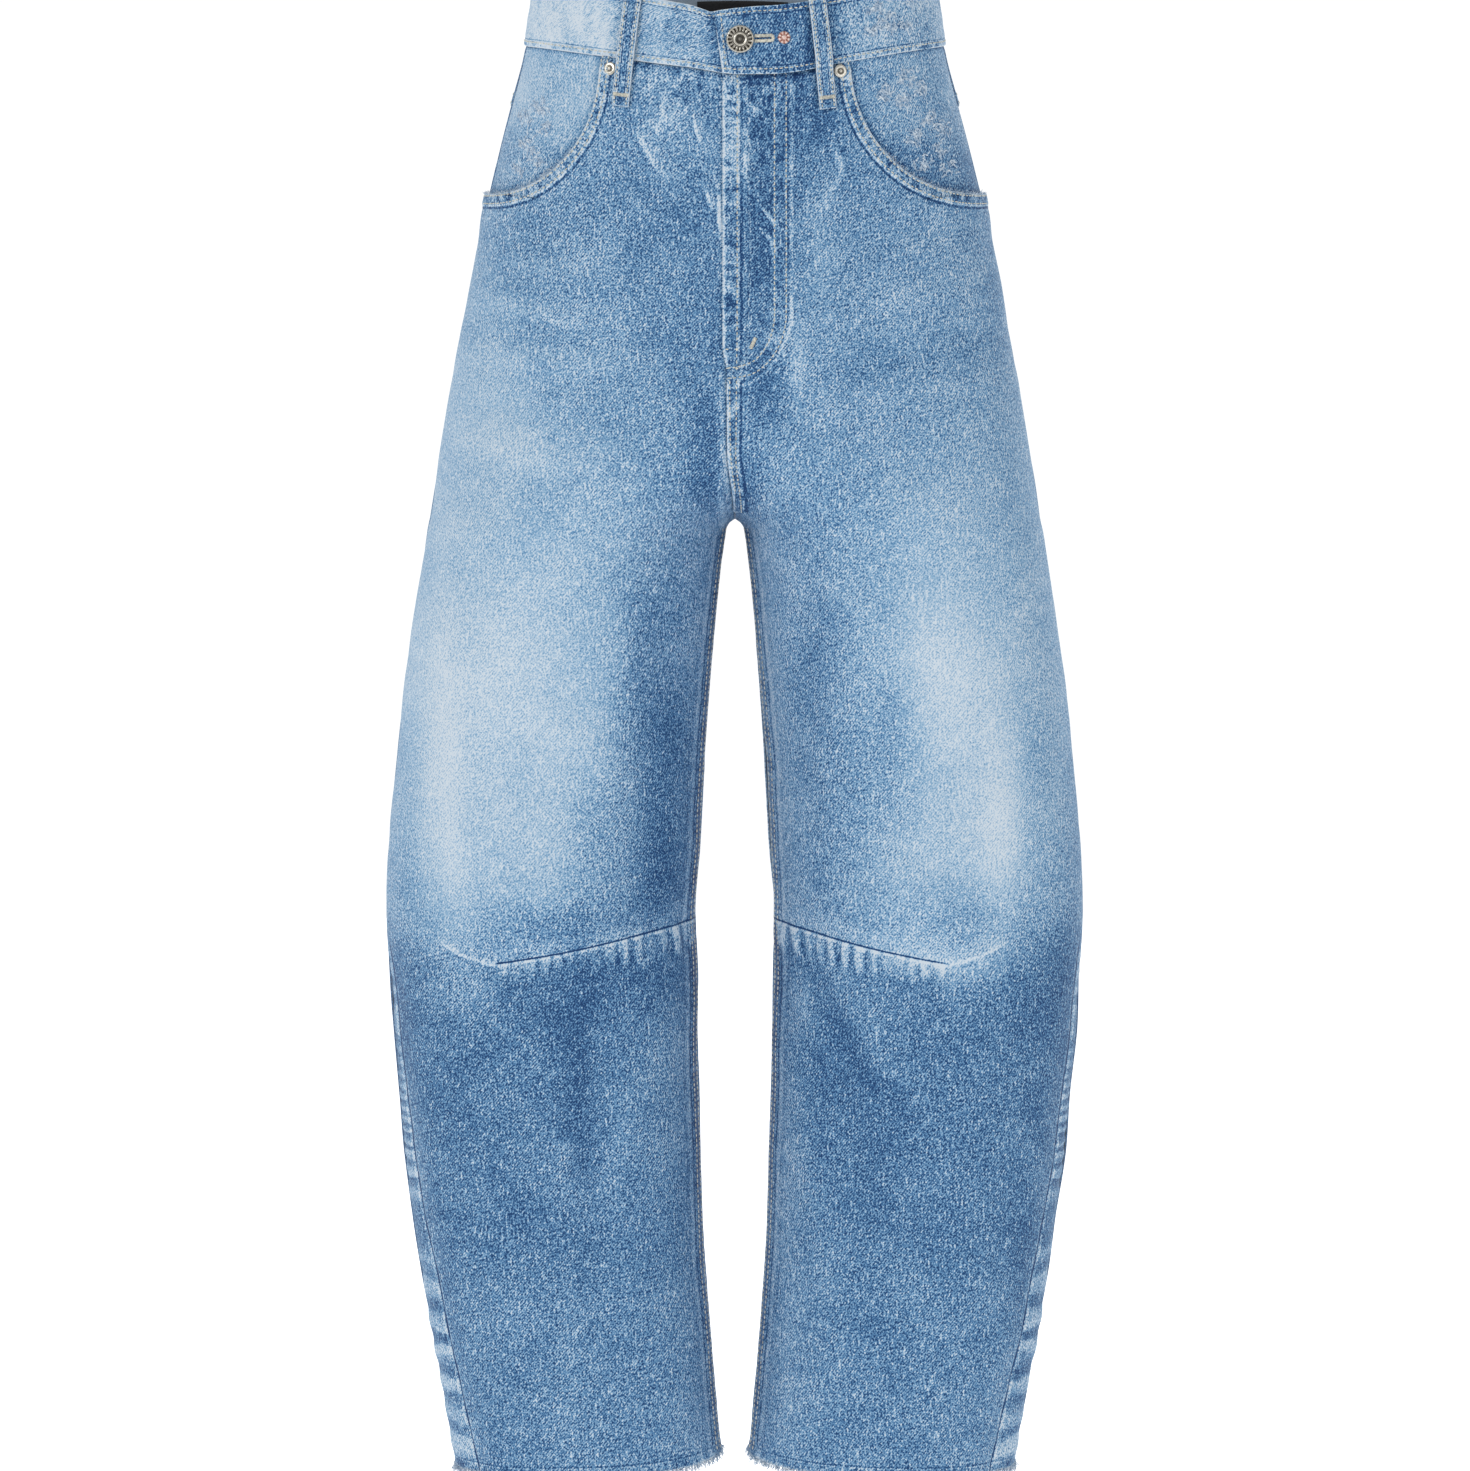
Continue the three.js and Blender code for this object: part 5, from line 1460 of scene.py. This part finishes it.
def clothGuide(side, half, finishOf, share, drop, lift=0.1):
    share, drop = np.broadcast_arrays(np.asarray(share, float), np.asarray(drop, float))
    return guide(*place(side, half, share, drop, finishOf(side, share, drop).out + lift))


def guideObject(name, guides):
    points = np.concatenate([g["points"] for g in guides]) * mm
    ways = np.concatenate([g["ways"] for g in guides])
    edges, start = [], 0
    for g in guides:
        count = len(g["points"])
        edges += [(start + i, start + i + 1) for i in range(count - 1)]
        start += count
    mesh = bpy.data.meshes.new(name)
    mesh.from_pydata(points.tolist(), edges, [])
    putMark(mesh, "outward", ways)
    if "aim" in guides[0]:
        putMark(mesh, "aim", np.concatenate([g["aim"] for g in guides]))
    return newObject(name, mesh)


def geometryTree(name, sizes):
    tree = bpy.data.node_groups.new(name, "GeometryNodeTree")
    tree.interface.new_socket("Guides", in_out="INPUT", socket_type="NodeSocketGeometry")
    for label, value in sizes.items():
        kind = "NodeSocketInt" if isinstance(value, int) else "NodeSocketFloat"
        tree.interface.new_socket(label, in_out="INPUT", socket_type=kind).default_value = value
    tree.interface.new_socket("Material", in_out="INPUT", socket_type="NodeSocketMaterial")
    tree.interface.new_socket("Made", in_out="OUTPUT", socket_type="NodeSocketGeometry")
    return tree, tree.nodes.new("NodeGroupInput").outputs, tree.nodes.new("NodeGroupOutput").inputs


def finishTree(tree, given, out, instances):
    real = newNode(tree, "GeometryNodeRealizeInstances", None, {0: instances})
    smoothed = newNode(tree, "GeometryNodeSetShadeSmooth", None, {0: real.outputs[0]})
    inputs = {0: smoothed.outputs[0], "Material": given["Material"]}
    painted = newNode(tree, "GeometryNodeSetMaterial", None, inputs)
    tree.links.new(painted.outputs[0], out["Made"])


def vectorOf(tree, name):
    node = newNode(tree, "GeometryNodeInputNamedAttribute", {"data_type": "FLOAT_VECTOR"}, {"Name": name})
    return node.outputs["Attribute"]


def addVectors(tree, a, b):
    return newNode(tree, "ShaderNodeVectorMath", {"operation": "ADD"}, {0: a, 1: b}).outputs[0]


def scaleVector(tree, a, scale):
    inputs = {0: a, "Scale": scale}
    return newNode(tree, "ShaderNodeVectorMath", {"operation": "SCALE"}, inputs).outputs[0]


def randomVector(tree, seed):
    inputs = {"Seed": seed, 0: (-1, -1, -1), 1: (1, 1, 1)}
    return newNode(tree, "FunctionNodeRandomValue", {"data_type": "FLOAT_VECTOR"}, inputs).outputs[0]


def randomFloat(tree, low, high, seed):
    inputs = {"Seed": seed, 2: low, 3: high}
    return newNode(tree, "FunctionNodeRandomValue", {"data_type": "FLOAT"}, inputs).outputs[1]


def spacedPoints(tree, given):
    line = newNode(tree, "GeometryNodeMeshToCurve", None, {0: given["Guides"]})
    inputs = {0: line.outputs[0], "Length": given["Pitch"]}
    return newNode(tree, "GeometryNodeResampleCurve", {"mode": "LENGTH"}, inputs)


# Stitches: a bead at each step along the guide, turned a little by chance.
def stitchTree():
    sizes = {"Pitch": 0.003, "Long": 0.0026, "Wide": 0.0007, "High": 0.0006, "Turn": 0.0, "Seed": 1}
    tree, given, out = geometryTree("stitching", sizes)
    spots = spacedPoints(tree, given)
    tangent = newNode(tree, "GeometryNodeInputTangent").outputs[0]
    way = vectorOf(tree, "outward")
    wander = randomFloat(tree, -0.10, 0.10, given["Seed"])
    turned = newNode(tree, "ShaderNodeVectorRotate", {"rotation_type": "AXIS_ANGLE"},
                     {"Vector": tangent, "Axis": way,
                      "Angle": calculate(tree, "ADD", wander, given["Turn"])})
    axes = newNode(tree, "FunctionNodeAxesToRotation", {"primary_axis": "Z", "secondary_axis": "X"},
                   {0: way, 1: turned.outputs[0]})
    bead = newNode(tree, "GeometryNodeMeshUVSphere", None, {"Segments": 6, "Rings": 4, "Radius": 0.5})
    turn = newNode(tree, "GeometryNodeTransform", None,
                   {0: bead.outputs[0], "Rotation": (0, math.pi / 2, 0)})
    vary = randomFloat(tree, 0.88, 1.1, given["Seed"])
    size = combine(tree, calculate(tree, "MULTIPLY", given["Long"], vary), given["Wide"], given["High"])
    inputs = {"Points": spots.outputs[0], "Instance": turn.outputs[0],
              "Rotation": axes.outputs[0], "Scale": size}
    placed = newNode(tree, "GeometryNodeInstanceOnPoints", None, inputs)
    finishTree(tree, given, out, placed.outputs[0])
    return tree


# Loose threads: each bends a little and points along the guide's aim, spread by chance.
def threadTree():
    sizes = {"Pitch": 0.0004, "Short": 0.002, "Long": 0.006, "Thread": 0.00016, "Spread": 0.5,
             "Curl": 0.3, "Seed": 1}
    tree, given, out = geometryTree("looseThreads", sizes)
    spots = spacedPoints(tree, given)
    shapes = newNode(tree, "GeometryNodeJoinGeometry")
    for bendX, bendY in ((0.22, 0.05), (-0.12, 0.20), (0.06, -0.24), (-0.26, -0.08)):
        ends = {"Start": (0, 0, -0.15), "End": (0, 0, 1)}
        line = newNode(tree, "GeometryNodeCurvePrimitiveLine", None, ends)
        fine = newNode(tree, "GeometryNodeResampleCurve", {"mode": "COUNT"},
                       {0: line.outputs[0], "Count": 5})
        along = newNode(tree, "GeometryNodeInputPosition").outputs[0]
        height = newNode(tree, "ShaderNodeSeparateXYZ", None, {0: along}).outputs[2]
        bend = calculate(tree, "POWER", calculate(tree, "MAXIMUM", height, 0.0), 2.0)
        bends = [calculate(tree, "MULTIPLY", bend, amount) for amount in (bendX, bendY)]
        offset = scaleVector(tree, combine(tree, *bends, 0.0),
                             calculate(tree, "MULTIPLY", given["Curl"], 4.0))
        bent = newNode(tree, "GeometryNodeSetPosition", None, {0: fine.outputs[0], "Offset": offset})
        instance = newNode(tree, "GeometryNodeGeometryToInstance", None, {0: bent.outputs[0]})
        tree.links.new(instance.outputs[0], shapes.inputs[0])
    spread = scaleVector(tree, randomVector(tree, given["Seed"]), given["Spread"])
    aim = addVectors(tree, vectorOf(tree, "aim"), spread)
    roll = randomVector(tree, calculate(tree, "ADD", given["Seed"], 7.0))
    axes = newNode(tree, "FunctionNodeAxesToRotation", {"primary_axis": "Z", "secondary_axis": "X"},
                   {0: aim, 1: roll})
    length = randomFloat(tree, given["Short"], given["Long"], given["Seed"])
    size = combine(tree, length, length, length)
    inputs = {"Points": spots.outputs[0], "Instance": shapes.outputs[0], "Pick Instance": True,
              "Rotation": axes.outputs[0], "Scale": size}
    placed = newNode(tree, "GeometryNodeInstanceOnPoints", None, inputs)
    real = newNode(tree, "GeometryNodeRealizeInstances", None, {0: placed.outputs[0]})
    rim = {"Resolution": 3, "Radius": given["Thread"]}
    profile = newNode(tree, "GeometryNodeCurvePrimitiveCircle", None, rim)
    tube = newNode(tree, "GeometryNodeCurveToMesh", None,
                   {"Curve": real.outputs[0], "Profile Curve": profile.outputs[0], "Fill Caps": True})
    finishTree(tree, given, out, tube.outputs[0])
    return tree


def grow(name, guides, tree, sizes, material):
    holder = guideObject(name + "Guide", guides)
    modifier = holder.modifiers.new("grow", "NODES")
    modifier.node_group = tree
    for item in tree.interface.items_tree:
        if item.in_out == "INPUT" and item.name in sizes:
            modifier[item.identifier] = sizes[item.name]
        if item.in_out == "INPUT" and item.name == "Material":
            modifier[item.identifier] = material
    depsgraph = bpy.context.evaluated_depsgraph_get()
    mesh = bpy.data.meshes.new_from_object(holder.evaluated_get(depsgraph))
    bpy.data.objects.remove(holder)
    mesh.name = name
    piece = newObject(name, mesh)
    pieces.append(piece)
    print(name, len(mesh.polygons), "faces")


stitching = stitchTree()
threads = threadTree()
topstitch = {"Pitch": 0.0033, "Long": 0.0024, "Wide": 0.00095, "High": 0.0009}
bartack = {"Pitch": 0.00055, "Long": 0.0028, "Wide": 0.0006, "High": 0.0007, "Turn": math.pi / 2}
buttonhole = {"Pitch": 0.00045, "Long": 0.0024, "Wide": 0.0006, "High": 0.0009, "Turn": math.pi / 2}
picked = {"Pitch": 0.0012, "Long": 0.0024, "Wide": 0.0012, "High": 0.0010}


# The place at a distance outside the pocket opening's edge, for a turn round its quarter ellipse.
def pocketLine(side, away, low=0.0, high=0.985, count=90):
    turn = np.linspace(low, high, count) * np.pi / 2
    grown = 1 + away / pocket["depth"]
    x = pocket["outer"] - pocket["width"][side] * grown * np.cos(turn)
    drop = waist["height"] + pocket["depth"] * grown * np.sin(turn)
    keep = drop > waist["height"] + 0.5
    return shareAt(x[keep], drop[keep]), drop[keep]


# A row of stitches down the cloth at distances from the middle plane.
def rowDown(side, half, finishOf, x, drop):
    return clothGuide(side, half, finishOf, signedShare(x + 0 * drop, drop), drop)


def frontRows(side):
    rows = [clothGuide(side, "front", frontFinish, *pocketLine(side, away)) for away in (1.7, 6.5)]
    legDrop = stepsTo(leg["crotch"] + 6, leg["hem"] - 2, 5)
    for away in (1.6, 4.6):
        x = level["inner"](legDrop) + away / leg["innerStretch"]
        rows.append(rowDown(side, "front", frontFinish, x, legDrop))
    if side > 0:
        edgeDrop = stepsTo(waist["height"] + 2, fly["end"] + 2, 4)
        rows.append(rowDown(side, "front", frontFinish, 1.4, edgeDrop))
        for gap, lowGap in ((0, 0), (flyCurve["gap"], flyCurve["lowGap"])):
            x = flyCurve["x"] + gap
            turn = np.linspace(0, np.pi / 2, 26)
            low = flyCurve["bottom"] + lowGap - flyCurve["turn"]
            x = np.concatenate([np.full(40, x), x * np.cos(turn)])
            drop = np.concatenate([np.linspace(waist["height"] + 2, flyCurve["turn"] - 3, 40),
                                   flyCurve["turn"] + low * np.sin(turn)])
            drawnIn = x - 4 * smooth((x < 12) * (12 - x) / 12)
            x = np.where(drop > flyCurve["turn"], drawnIn, x)
            rows.append(rowDown(side, "front", frontFinish, x, drop))
        seamDrop = stepsTo(flyCurve["bottom"] + 10, leg["crotch"] - 8, 4)
        for inset in (1.8, 6.6):
            rows.append(rowDown(side, "front", frontFinish, inset - lapAt(seamDrop), seamDrop))
    return rows


def backRows(side):
    share = np.linspace(0.01, 0.985, 80)
    rows = [clothGuide(side, "back", yokeFinish, share, yokeSeam(share) - away) for away in (2.0, 7.4)]
    legDrop = stepsTo(leg["crotch"] + 8, leg["hem"] - 2, 5)
    rows.append(rowDown(side, "back", backFinish, level["inner"](legDrop) + 1.6, legDrop))
    if side > 0:
        seatDrop = stepsTo(yokeShape["centre"] + 2, leg["crotch"] - 6, 4)
        yokeDrop = stepsTo(waist["height"] + 2, yokeShape["centre"] - 2, 4)
        for x in (1.8, 7.0):
            rows.append(rowDown(side, "back", backFinish, x, seatDrop))
            rows.append(rowDown(side, "back", yokeFinish, x, yokeDrop))
    return rows


def patchGuide(side, down, turn):
    finish, share, drop = patchFinish(side, down, turn)
    return guide(*place(side, "back", share, drop, finish.out + 0.1))


def patchRows(side):
    rows = []
    for inset in (1.8, 7.2):
        edge = 1 - inset / patch["halfTop"]
        bottom = 1 - inset / patch["side"]
        turn = np.concatenate([np.full(30, edge), np.linspace(edge, -edge, 50), np.full(30, -edge)])
        down = np.concatenate([np.linspace(0.01, bottom, 30), np.full(50, bottom),
                               np.linspace(bottom, 0.01, 30)])
        rows.append(patchGuide(side, down, turn))
    for depth in (2.2, 13):
        turn = np.linspace(-0.97, 0.97, 50)
        rows.append(patchGuide(side, depth / lerp(patch["height"], patch["side"], np.abs(turn)), turn))
    return rows


# A row of stitches through single places on the band, raised a little.
def bandGuide(columns, drops, raised):
    faces = [bandFace(row, np.array([drop])) for row, drop in zip(columns, drops)]
    ways = np.concatenate([f[1] for f in faces])
    return guide(np.concatenate([f[0] for f in faces]) + raised * ways, ways)


def bandRows():
    ring = [row for row in bandRound()[1:] if row[3] > 0]
    rows = [bandGuide(ring, [drop] * len(ring), 0.1) for drop in (3.0, 37.0)]
    share = -float(shareAt(band["lap"] - 3.0, band["middle"]))
    rows.append(bandGuide([(1, "front", share, 1.0)] * 14, np.linspace(3, 37, 14), 0.1))
    return rows


def loopRows():
    s = np.linspace(0.03, 0.97, 24)
    raised = np.full(24, loop["thick"] - 0.05)
    return [guide(*loopPlace(spec, s, np.full(24, across), raised))
            for spec in loops for across in (-3.7, 3.7)]


def loopTacks():
    across = np.linspace(-4.6, 4.6, 12)
    raised = np.full(12, loop["thick"] - 0.1)
    return [guide(*loopPlace(spec, np.full(12, s), across, raised))
            for spec in loops for s in (0.035, 0.90)]


def shortRow(side, x1, d1, x2, d2, count=8):
    x, drop = np.linspace(x1, x2, count), np.linspace(d1, d2, count)
    return clothGuide(side, "front", frontFinish, signedShare(x, drop), drop, 0.2)


def sew(name, rows, sizes, seed):
    grow(name, rows, stitching, {**sizes, "Seed": seed}, ecruThread)


for side in (-1, 1):
    sew("frontStitching" + words[side], frontRows(side), topstitch, 3 + side)
    sew("backStitching" + words[side], backRows(side) + patchRows(side), topstitch, 8 + side)
sew("waistbandStitching", bandRows(), topstitch, 12)
sew("beltLoopStitching", loopRows(), {**topstitch, "Pitch": 0.0027, "Long": 0.0022}, 13)
boxTack = [shortRow(1, -5.2, 230, 1.2, 230, 3), shortRow(1, 1.2, 230, 1.2, 243, 5),
           shortRow(1, -4.6, 243, 1.2, 243, 3)]
sew("flyBoxStitching", boxTack, topstitch, 16)
sew("bartacks", loopTacks() + [shortRow(1, 13, 222.5, 10, 229.5)], bartack, 14)

# The keyhole's edge is bound with close stitches.
keyhole = {"from": 12.5, "to": 23, "half": 1.5}


def keyholeRow():
    there, back = (np.linspace(keyhole[a], keyhole[b], 20) for a, b in (("from", "to"), ("to", "from")))
    x = np.concatenate([there, np.full(5, keyhole["to"] + 0.8), back])
    half = keyhole["half"]
    drop = button["drop"] + np.concatenate([np.full(20, -half), np.linspace(-1, 1, 5), np.full(20, half)])
    columns = [(1, "front", float(shareAt(a, band["middle"])), 1.0) for a in x]
    return bandGuide(columns, drop, 0.5)


sew("keyholeStitching", [keyholeRow()], buttonhole, 15)
print("stitching sewn")

# Fray: threads hang from the raw hems and stand along the pocket openings' worn edges.
fray = {"hem": {"Pitch": 0.00042, "Short": 0.0016, "Long": 0.0062, "Thread": 0.00017,
                "Spread": 0.55, "Curl": 0.35},
        "pocket": {"Pitch": 0.0007, "Short": 0.001, "Long": 0.0028, "Thread": 0.00016,
                   "Spread": 0.9, "Curl": 0.5}}


def hemGuide(side, half, finishOf, out):
    share = np.linspace(0.01, 0.995, 120)
    drop = rowDrop(half, share, leg["hem"]) - 0.8
    made = guide(*place(side, half, share, drop, finishOf(side, share, drop).out + out))
    made["aim"] = np.tile([0.0, 0.0, -1.0], (len(share), 1)) + 0.15 * made["ways"]
    return made


def pocketFray(side):
    share, drop = pocketLine(side, 0.5, 0.45, 0.98, 60)
    made = clothGuide(side, "front", frontFinish, share, drop, 0.1)
    before = place(side, "front", *pocketLine(side, -1.5, 0.45, 0.98, 60), 0.0)[0]
    inward = before - place(side, "front", share, drop, 0.0)[0]
    made["aim"] = inward / np.linalg.norm(inward, axis=-1, keepdims=True) + 0.5 * made["ways"]
    return made


for side in (-1, 1):
    halves = (("front", frontFinish), ("back", backFinish))
    edges = [hemGuide(side, half, finishOf, -out) for half, finishOf in halves for out in (0.3, 0.9)]
    grow("hemFray" + words[side], edges, threads, {**fray["hem"], "Seed": 21 + side}, paleThread)
    sizes = {**fray["pocket"], "Seed": 25 + side}
    grow("pocketFray" + words[side], [pocketFray(side)], threads, sizes, paleThread)

bandPicks = named(pickColumns, ((1, 88, 12, 6, 16), (1, 98, 22, 6, 18), (1, 86, 26, 5, 12),
                                (1, 112, 10, 4, 8), (1, 106, 26, 4, 8)))


def pickGuides(picks, faceOf, seed):
    chance = np.random.default_rng(seed)
    made = []
    for pick in picks:
        angle = chance.uniform(0, 2 * np.pi, pick.count)
        reach = pick.size * chance.uniform(0, 1, pick.count) ** 0.6
        for a, d in zip(pick.x + reach * np.cos(angle), pick.drop + reach * np.sin(angle)):
            lean = chance.normal(0.2, 0.9)
            span = chance.uniform(0.6, 2.2)
            line = np.linspace(-span, span, 3)
            drop = d + line * math.sin(lean) + 0.4 * (line**2 - span**2)
            made.append(guide(*faceOf(pick.side, a + line * math.cos(lean), drop)))
    return made


def hipFace(side, x, drop):
    share = shareAt(x, drop)
    return place(side, "front", share, drop, hipFinish(side, share, drop).out + 0.25)


def bandPickFace(side, x, drop):
    share = shareAt(x, band["middle"])
    finish = bandFinish(side, "front", share, drop, 1.0)
    return place(side, "front", share, drop, finish.out + 0.25)


for name, picks, faceOf, seed in (("hipPicks", hipPicks, hipFace, 33),
                                  ("waistbandPicks", bandPicks, bandPickFace, 35)):
    grow(name, pickGuides(picks, faceOf, seed), stitching, {**picked, "Seed": 31}, paleThread)
print("fray and picked threads grown")

# Turned metal: a profile of radius and height, with a share of darkness in its hollows. A ripple
# round part of the profile makes the button's ring of plain ticks.
def turned(name, profile, segments, seat, axis, material, ticks=0, tickBand=(0, 0), tickDepth=0.0):
    radius, height, hollow = (np.array(v, float) for v in zip(*profile))
    fine = np.linspace(0, len(profile) - 1, (len(profile) - 1) * 4 + 1)
    index = np.arange(len(profile))
    radius, height, hollow = (np.interp(fine, index, v) for v in (radius, height, hollow))
    angle = np.linspace(0, 2 * np.pi, segments, endpoint=False)
    ring, rows = len(angle), len(radius)
    top = height[:, None] * np.ones(ring)[None, :]
    shade = hollow[:, None] * np.ones(ring)[None, :]
    if ticks:
        inBand = smooth((radius - tickBand[0]) / 0.4) * (1 - smooth((radius - tickBand[1]) / 0.4))
        upper = (np.arange(rows) > np.argmax(radius))[:, None]
        cut = smooth(2.6 * np.cos(angle * ticks) - 0.7)[None, :] * inBand[:, None] * upper
        top = top - tickDepth * cut
        shade = np.clip(shade + cut, 0, 1)
    z, x = Vector(axis).normalized(), Vector((1, 0, 0))
    y = z.cross(x).normalized()
    x = y.cross(z)
    spots = (seat + (radius[:, None] * np.cos(angle))[..., None] * np.array(x)
             + (radius[:, None] * np.sin(angle))[..., None] * np.array(y) + top[..., None] * np.array(z))
    points = spots.reshape(-1, 3) * mm
    number = np.arange(rows * ring).reshape(rows, ring)
    a, b = number[:-1], number[1:]
    faces = np.stack([a, np.roll(a, -1, 1), np.roll(b, -1, 1), b], axis=-1).reshape(-1, 4)
    piece = meshObject(name, points, faces, material)
    putMark(piece.data, "hollow", shade.ravel())
    joinPoints(piece)
    pieces.append(piece)
    return piece


# Joins the points that meet at a turned piece's middle.
def joinPoints(piece):
    work = bmesh.new()
    work.from_mesh(piece.data)
    bmesh.ops.remove_doubles(work, verts=work.verts, dist=1e-6)
    bmesh.ops.recalc_face_normals(work, faces=work.faces)
    work.to_mesh(piece.data)
    work.free()
    piece.data.shade_smooth()


# A metal piece's seat on the cloth, and the way out there.
def seatOn(side, x, drop, out):
    return place(side, "front", float(shareAt(x, float(drop))), float(drop), out)


# The same on the band's buttoned end, which hangs.
def bandSeat(x, drop, out):
    seat, axis = seatOn(1, x, drop, out)
    return seat - np.array([0, 0, bandDipAt(x, drop)]), axis


buttonProfile = ((0, 0.3, 0), (2.4, 0.3, 0), (2.4, 3.3, 0.6), (6.4, 3.4, 0.3), (8.3, 3.8, 0),
                 (8.9, 4.6, 0), (8.8, 5.2, 0), (8.3, 5.8, 0), (7.7, 5.9, 0.0), (7.1, 5.4, 0.5),
                 (6.2, 5.25, 0.2), (5.2, 5.2, 0.5), (4.7, 5.3, 0.8), (4.3, 5.9, 0.0), (3.8, 6.15, 0),
                 (3.2, 5.95, 0.0), (2.7, 5.3, 0.9), (1.4, 5.05, 0.9), (0.6, 5.15, 0.5), (0, 5.2, 0.4))
rivetProfile = ((0, 0, 0), (4.2, 0, 0), (4.35, 0.4, 0), (4.1, 0.9, 0), (3.4, 1.25, 0), (2.4, 1.35, 0),
                (1.9, 1.1, 0.6), (1.5, 1.05, 0.9), (1.25, 1.5, 0.3), (0.9, 2.0, 0), (0.5, 2.15, 0),
                (0, 2.2, 0))
tackProfile = ((0, 0, 0), (3.9, 0, 0), (4.0, 0.5, 0), (3.6, 1.1, 0), (2.9, 1.5, 0.1), (2.0, 1.25, 0.7),
               (1.3, 1.3, 0.5), (0.9, 1.6, 0), (0, 1.7, 0))
metal = {"rivetDrop": 48.5, "rivetX": {-1: 78.8, 1: 66.2}, "rivetOut": layer + 0.3,
         "tackX": 30.6, "tackDrop": 19.5, "tackOut": bandLift + band["outside"] + 0.3}
seat, axis = bandSeat(button["x"], button["drop"], band["outside"])
waistButton = turned("waistButton", buttonProfile, 108, seat, axis, steel, 18, (5.1, 7.6), 0.5)
rivets = {}
for side in (-1, 1):
    seat, axis = seatOn(side, metal["rivetX"][side], metal["rivetDrop"], metal["rivetOut"])
    rivets[side] = turned("rivet" + words[side], rivetProfile, 40, seat, axis, steel)
seat, axis = bandSeat(metal["tackX"], metal["tackDrop"], metal["tackOut"])
copperTack = turned("copperTack", tackProfile, 48, seat, axis, copper, 8, (1.6, 4.2), 0.45)
print("metal turned")

# Each piece rides on the one body and stands for its node.
nodeOf = {"waistband": "waistband", "backTape": "back_tape", "beltLoopCentreBack": "belt_loop_centre_back"}
for side in (-1, 1):
    for name, node in (("front", "front"), ("back", "back"), ("yoke", "yoke"), ("hip", "hip"),
                       ("backPocket", "back_pocket"), ("beltLoopFront", "belt_loop_front"),
                       ("beltLoopBack", "belt_loop_back")):
        nodeOf[name + words[side]] = node + "_" + nodeWords[side]
for piece in pieces:
    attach(piece, "root")
for name, node in nodeOf.items():
    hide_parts(node)
for piece, node, slot in ((waistButton, "waist_button", "steel"), (rivets[-1], "rivet_right", "steel"),
                          (rivets[1], "rivet_left", "steel"), (copperTack, "copper_tack", "copper")):
    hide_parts(node)

for name, piece in cloths.items():
    width, length, area = piece["cut"]
    if name == "waistband":
        width, length = length, width

# The camera at the photo's angle, on the line through the middle of the fly.
camera = {"aim": (0, 0, -0.487), "distance": 5.0, "pitch": 4.0, "lens": 188.3}
lens = bpy.data.cameras.new("camera")
lens.lens = camera["lens"]
lens.sensor_width = 36
lens.clip_end = 60
eye = newObject("camera", lens)
pitch = math.radians(camera["pitch"])
eye.location = Vector(camera["aim"]) + camera["distance"] * Vector((0, -math.cos(pitch), math.sin(pitch)))
eye.rotation_euler = (math.pi / 2 - pitch, 0, 0)
bpy.context.scene.camera = eye

# A plain pale floor and soft light. To the camera both are a little paler than they light the cloth.
studio = {"floor": -1.45, "half": 9, "world": 0.60, "seen": 1.05, "glow": 0.3, "glowSeen": 0.45}
plain = {"Base Color": (0.94, 0.94, 0.94, 1), "Roughness": 0.9, "Emission Color": (1, 1, 1, 1)}
floorMaterial, floorTree, floorShader = newMaterial("paleFloor", plain)
floorSeen = newNode(floorTree, "ShaderNodeLightPath").outputs["Is Camera Ray"]
glow = calculate(floorTree, "MULTIPLY_ADD", floorSeen, studio["glowSeen"], studio["glow"])
floorTree.links.new(glow, floorShader.inputs["Emission Strength"])
corners = ((-1, -1), (1, -1), (1, 1), (-1, 1))
floorPoints = np.array([(x * studio["half"], y * studio["half"], studio["floor"]) for x, y in corners])
floor = meshObject("floor", floorPoints, np.array([(0, 1, 2, 3)]), floorMaterial)

world = bpy.data.worlds.new("studio")
bpy.context.scene.world = world
world.use_nodes = True
worldTree = world.node_tree
soft = worldTree.nodes["Background"]
soft.inputs["Color"].default_value = (1, 1, 1, 1)
soft.inputs["Strength"].default_value = studio["world"]
inputs = {"Color": (1, 1, 1, 1), "Strength": studio["seen"]}
white = newNode(worldTree, "ShaderNodeBackground", None, inputs)
seen = newNode(worldTree, "ShaderNodeLightPath").outputs["Is Camera Ray"]
inputs = {0: seen, 1: soft.outputs[0], 2: white.outputs[0]}
choice = newNode(worldTree, "ShaderNodeMixShader", None, inputs)
worldTree.links.new(choice.outputs[0], worldTree.nodes["World Output"].inputs[0])

lamps = named("name place size power", (
    ("key", (-2.6, -3.4, 1.6), 1.6, 46),
    ("fill", (3.0, -3.2, 0.2), 2.4, 20),
    ("behind", (1.8, 3.6, 1.4), 2.2, 60),
    ("behindFill", (-3.0, 2.8, 0.0), 2.4, 24),
))
for lamp in lamps:
    light = bpy.data.lights.new(lamp.name, "AREA")
    light.size = lamp.size
    light.energy = lamp.power
    holder = newObject(lamp.name, light)
    holder.location = lamp.place
    aimed = Vector((0, 0, -0.45)) - Vector(lamp.place)
    holder.rotation_euler = aimed.to_track_quat("-Z", "Y").to_euler()
bpy.context.scene.view_settings.view_transform = "Standard"
print("studio lit")

for piece in pieces:
    piece.data.calc_loop_triangles()
counts = [(len(piece.data.loop_triangles), piece.name) for piece in pieces]
print("triangles:", sum(count for count, name in counts), "largest:", max(counts))
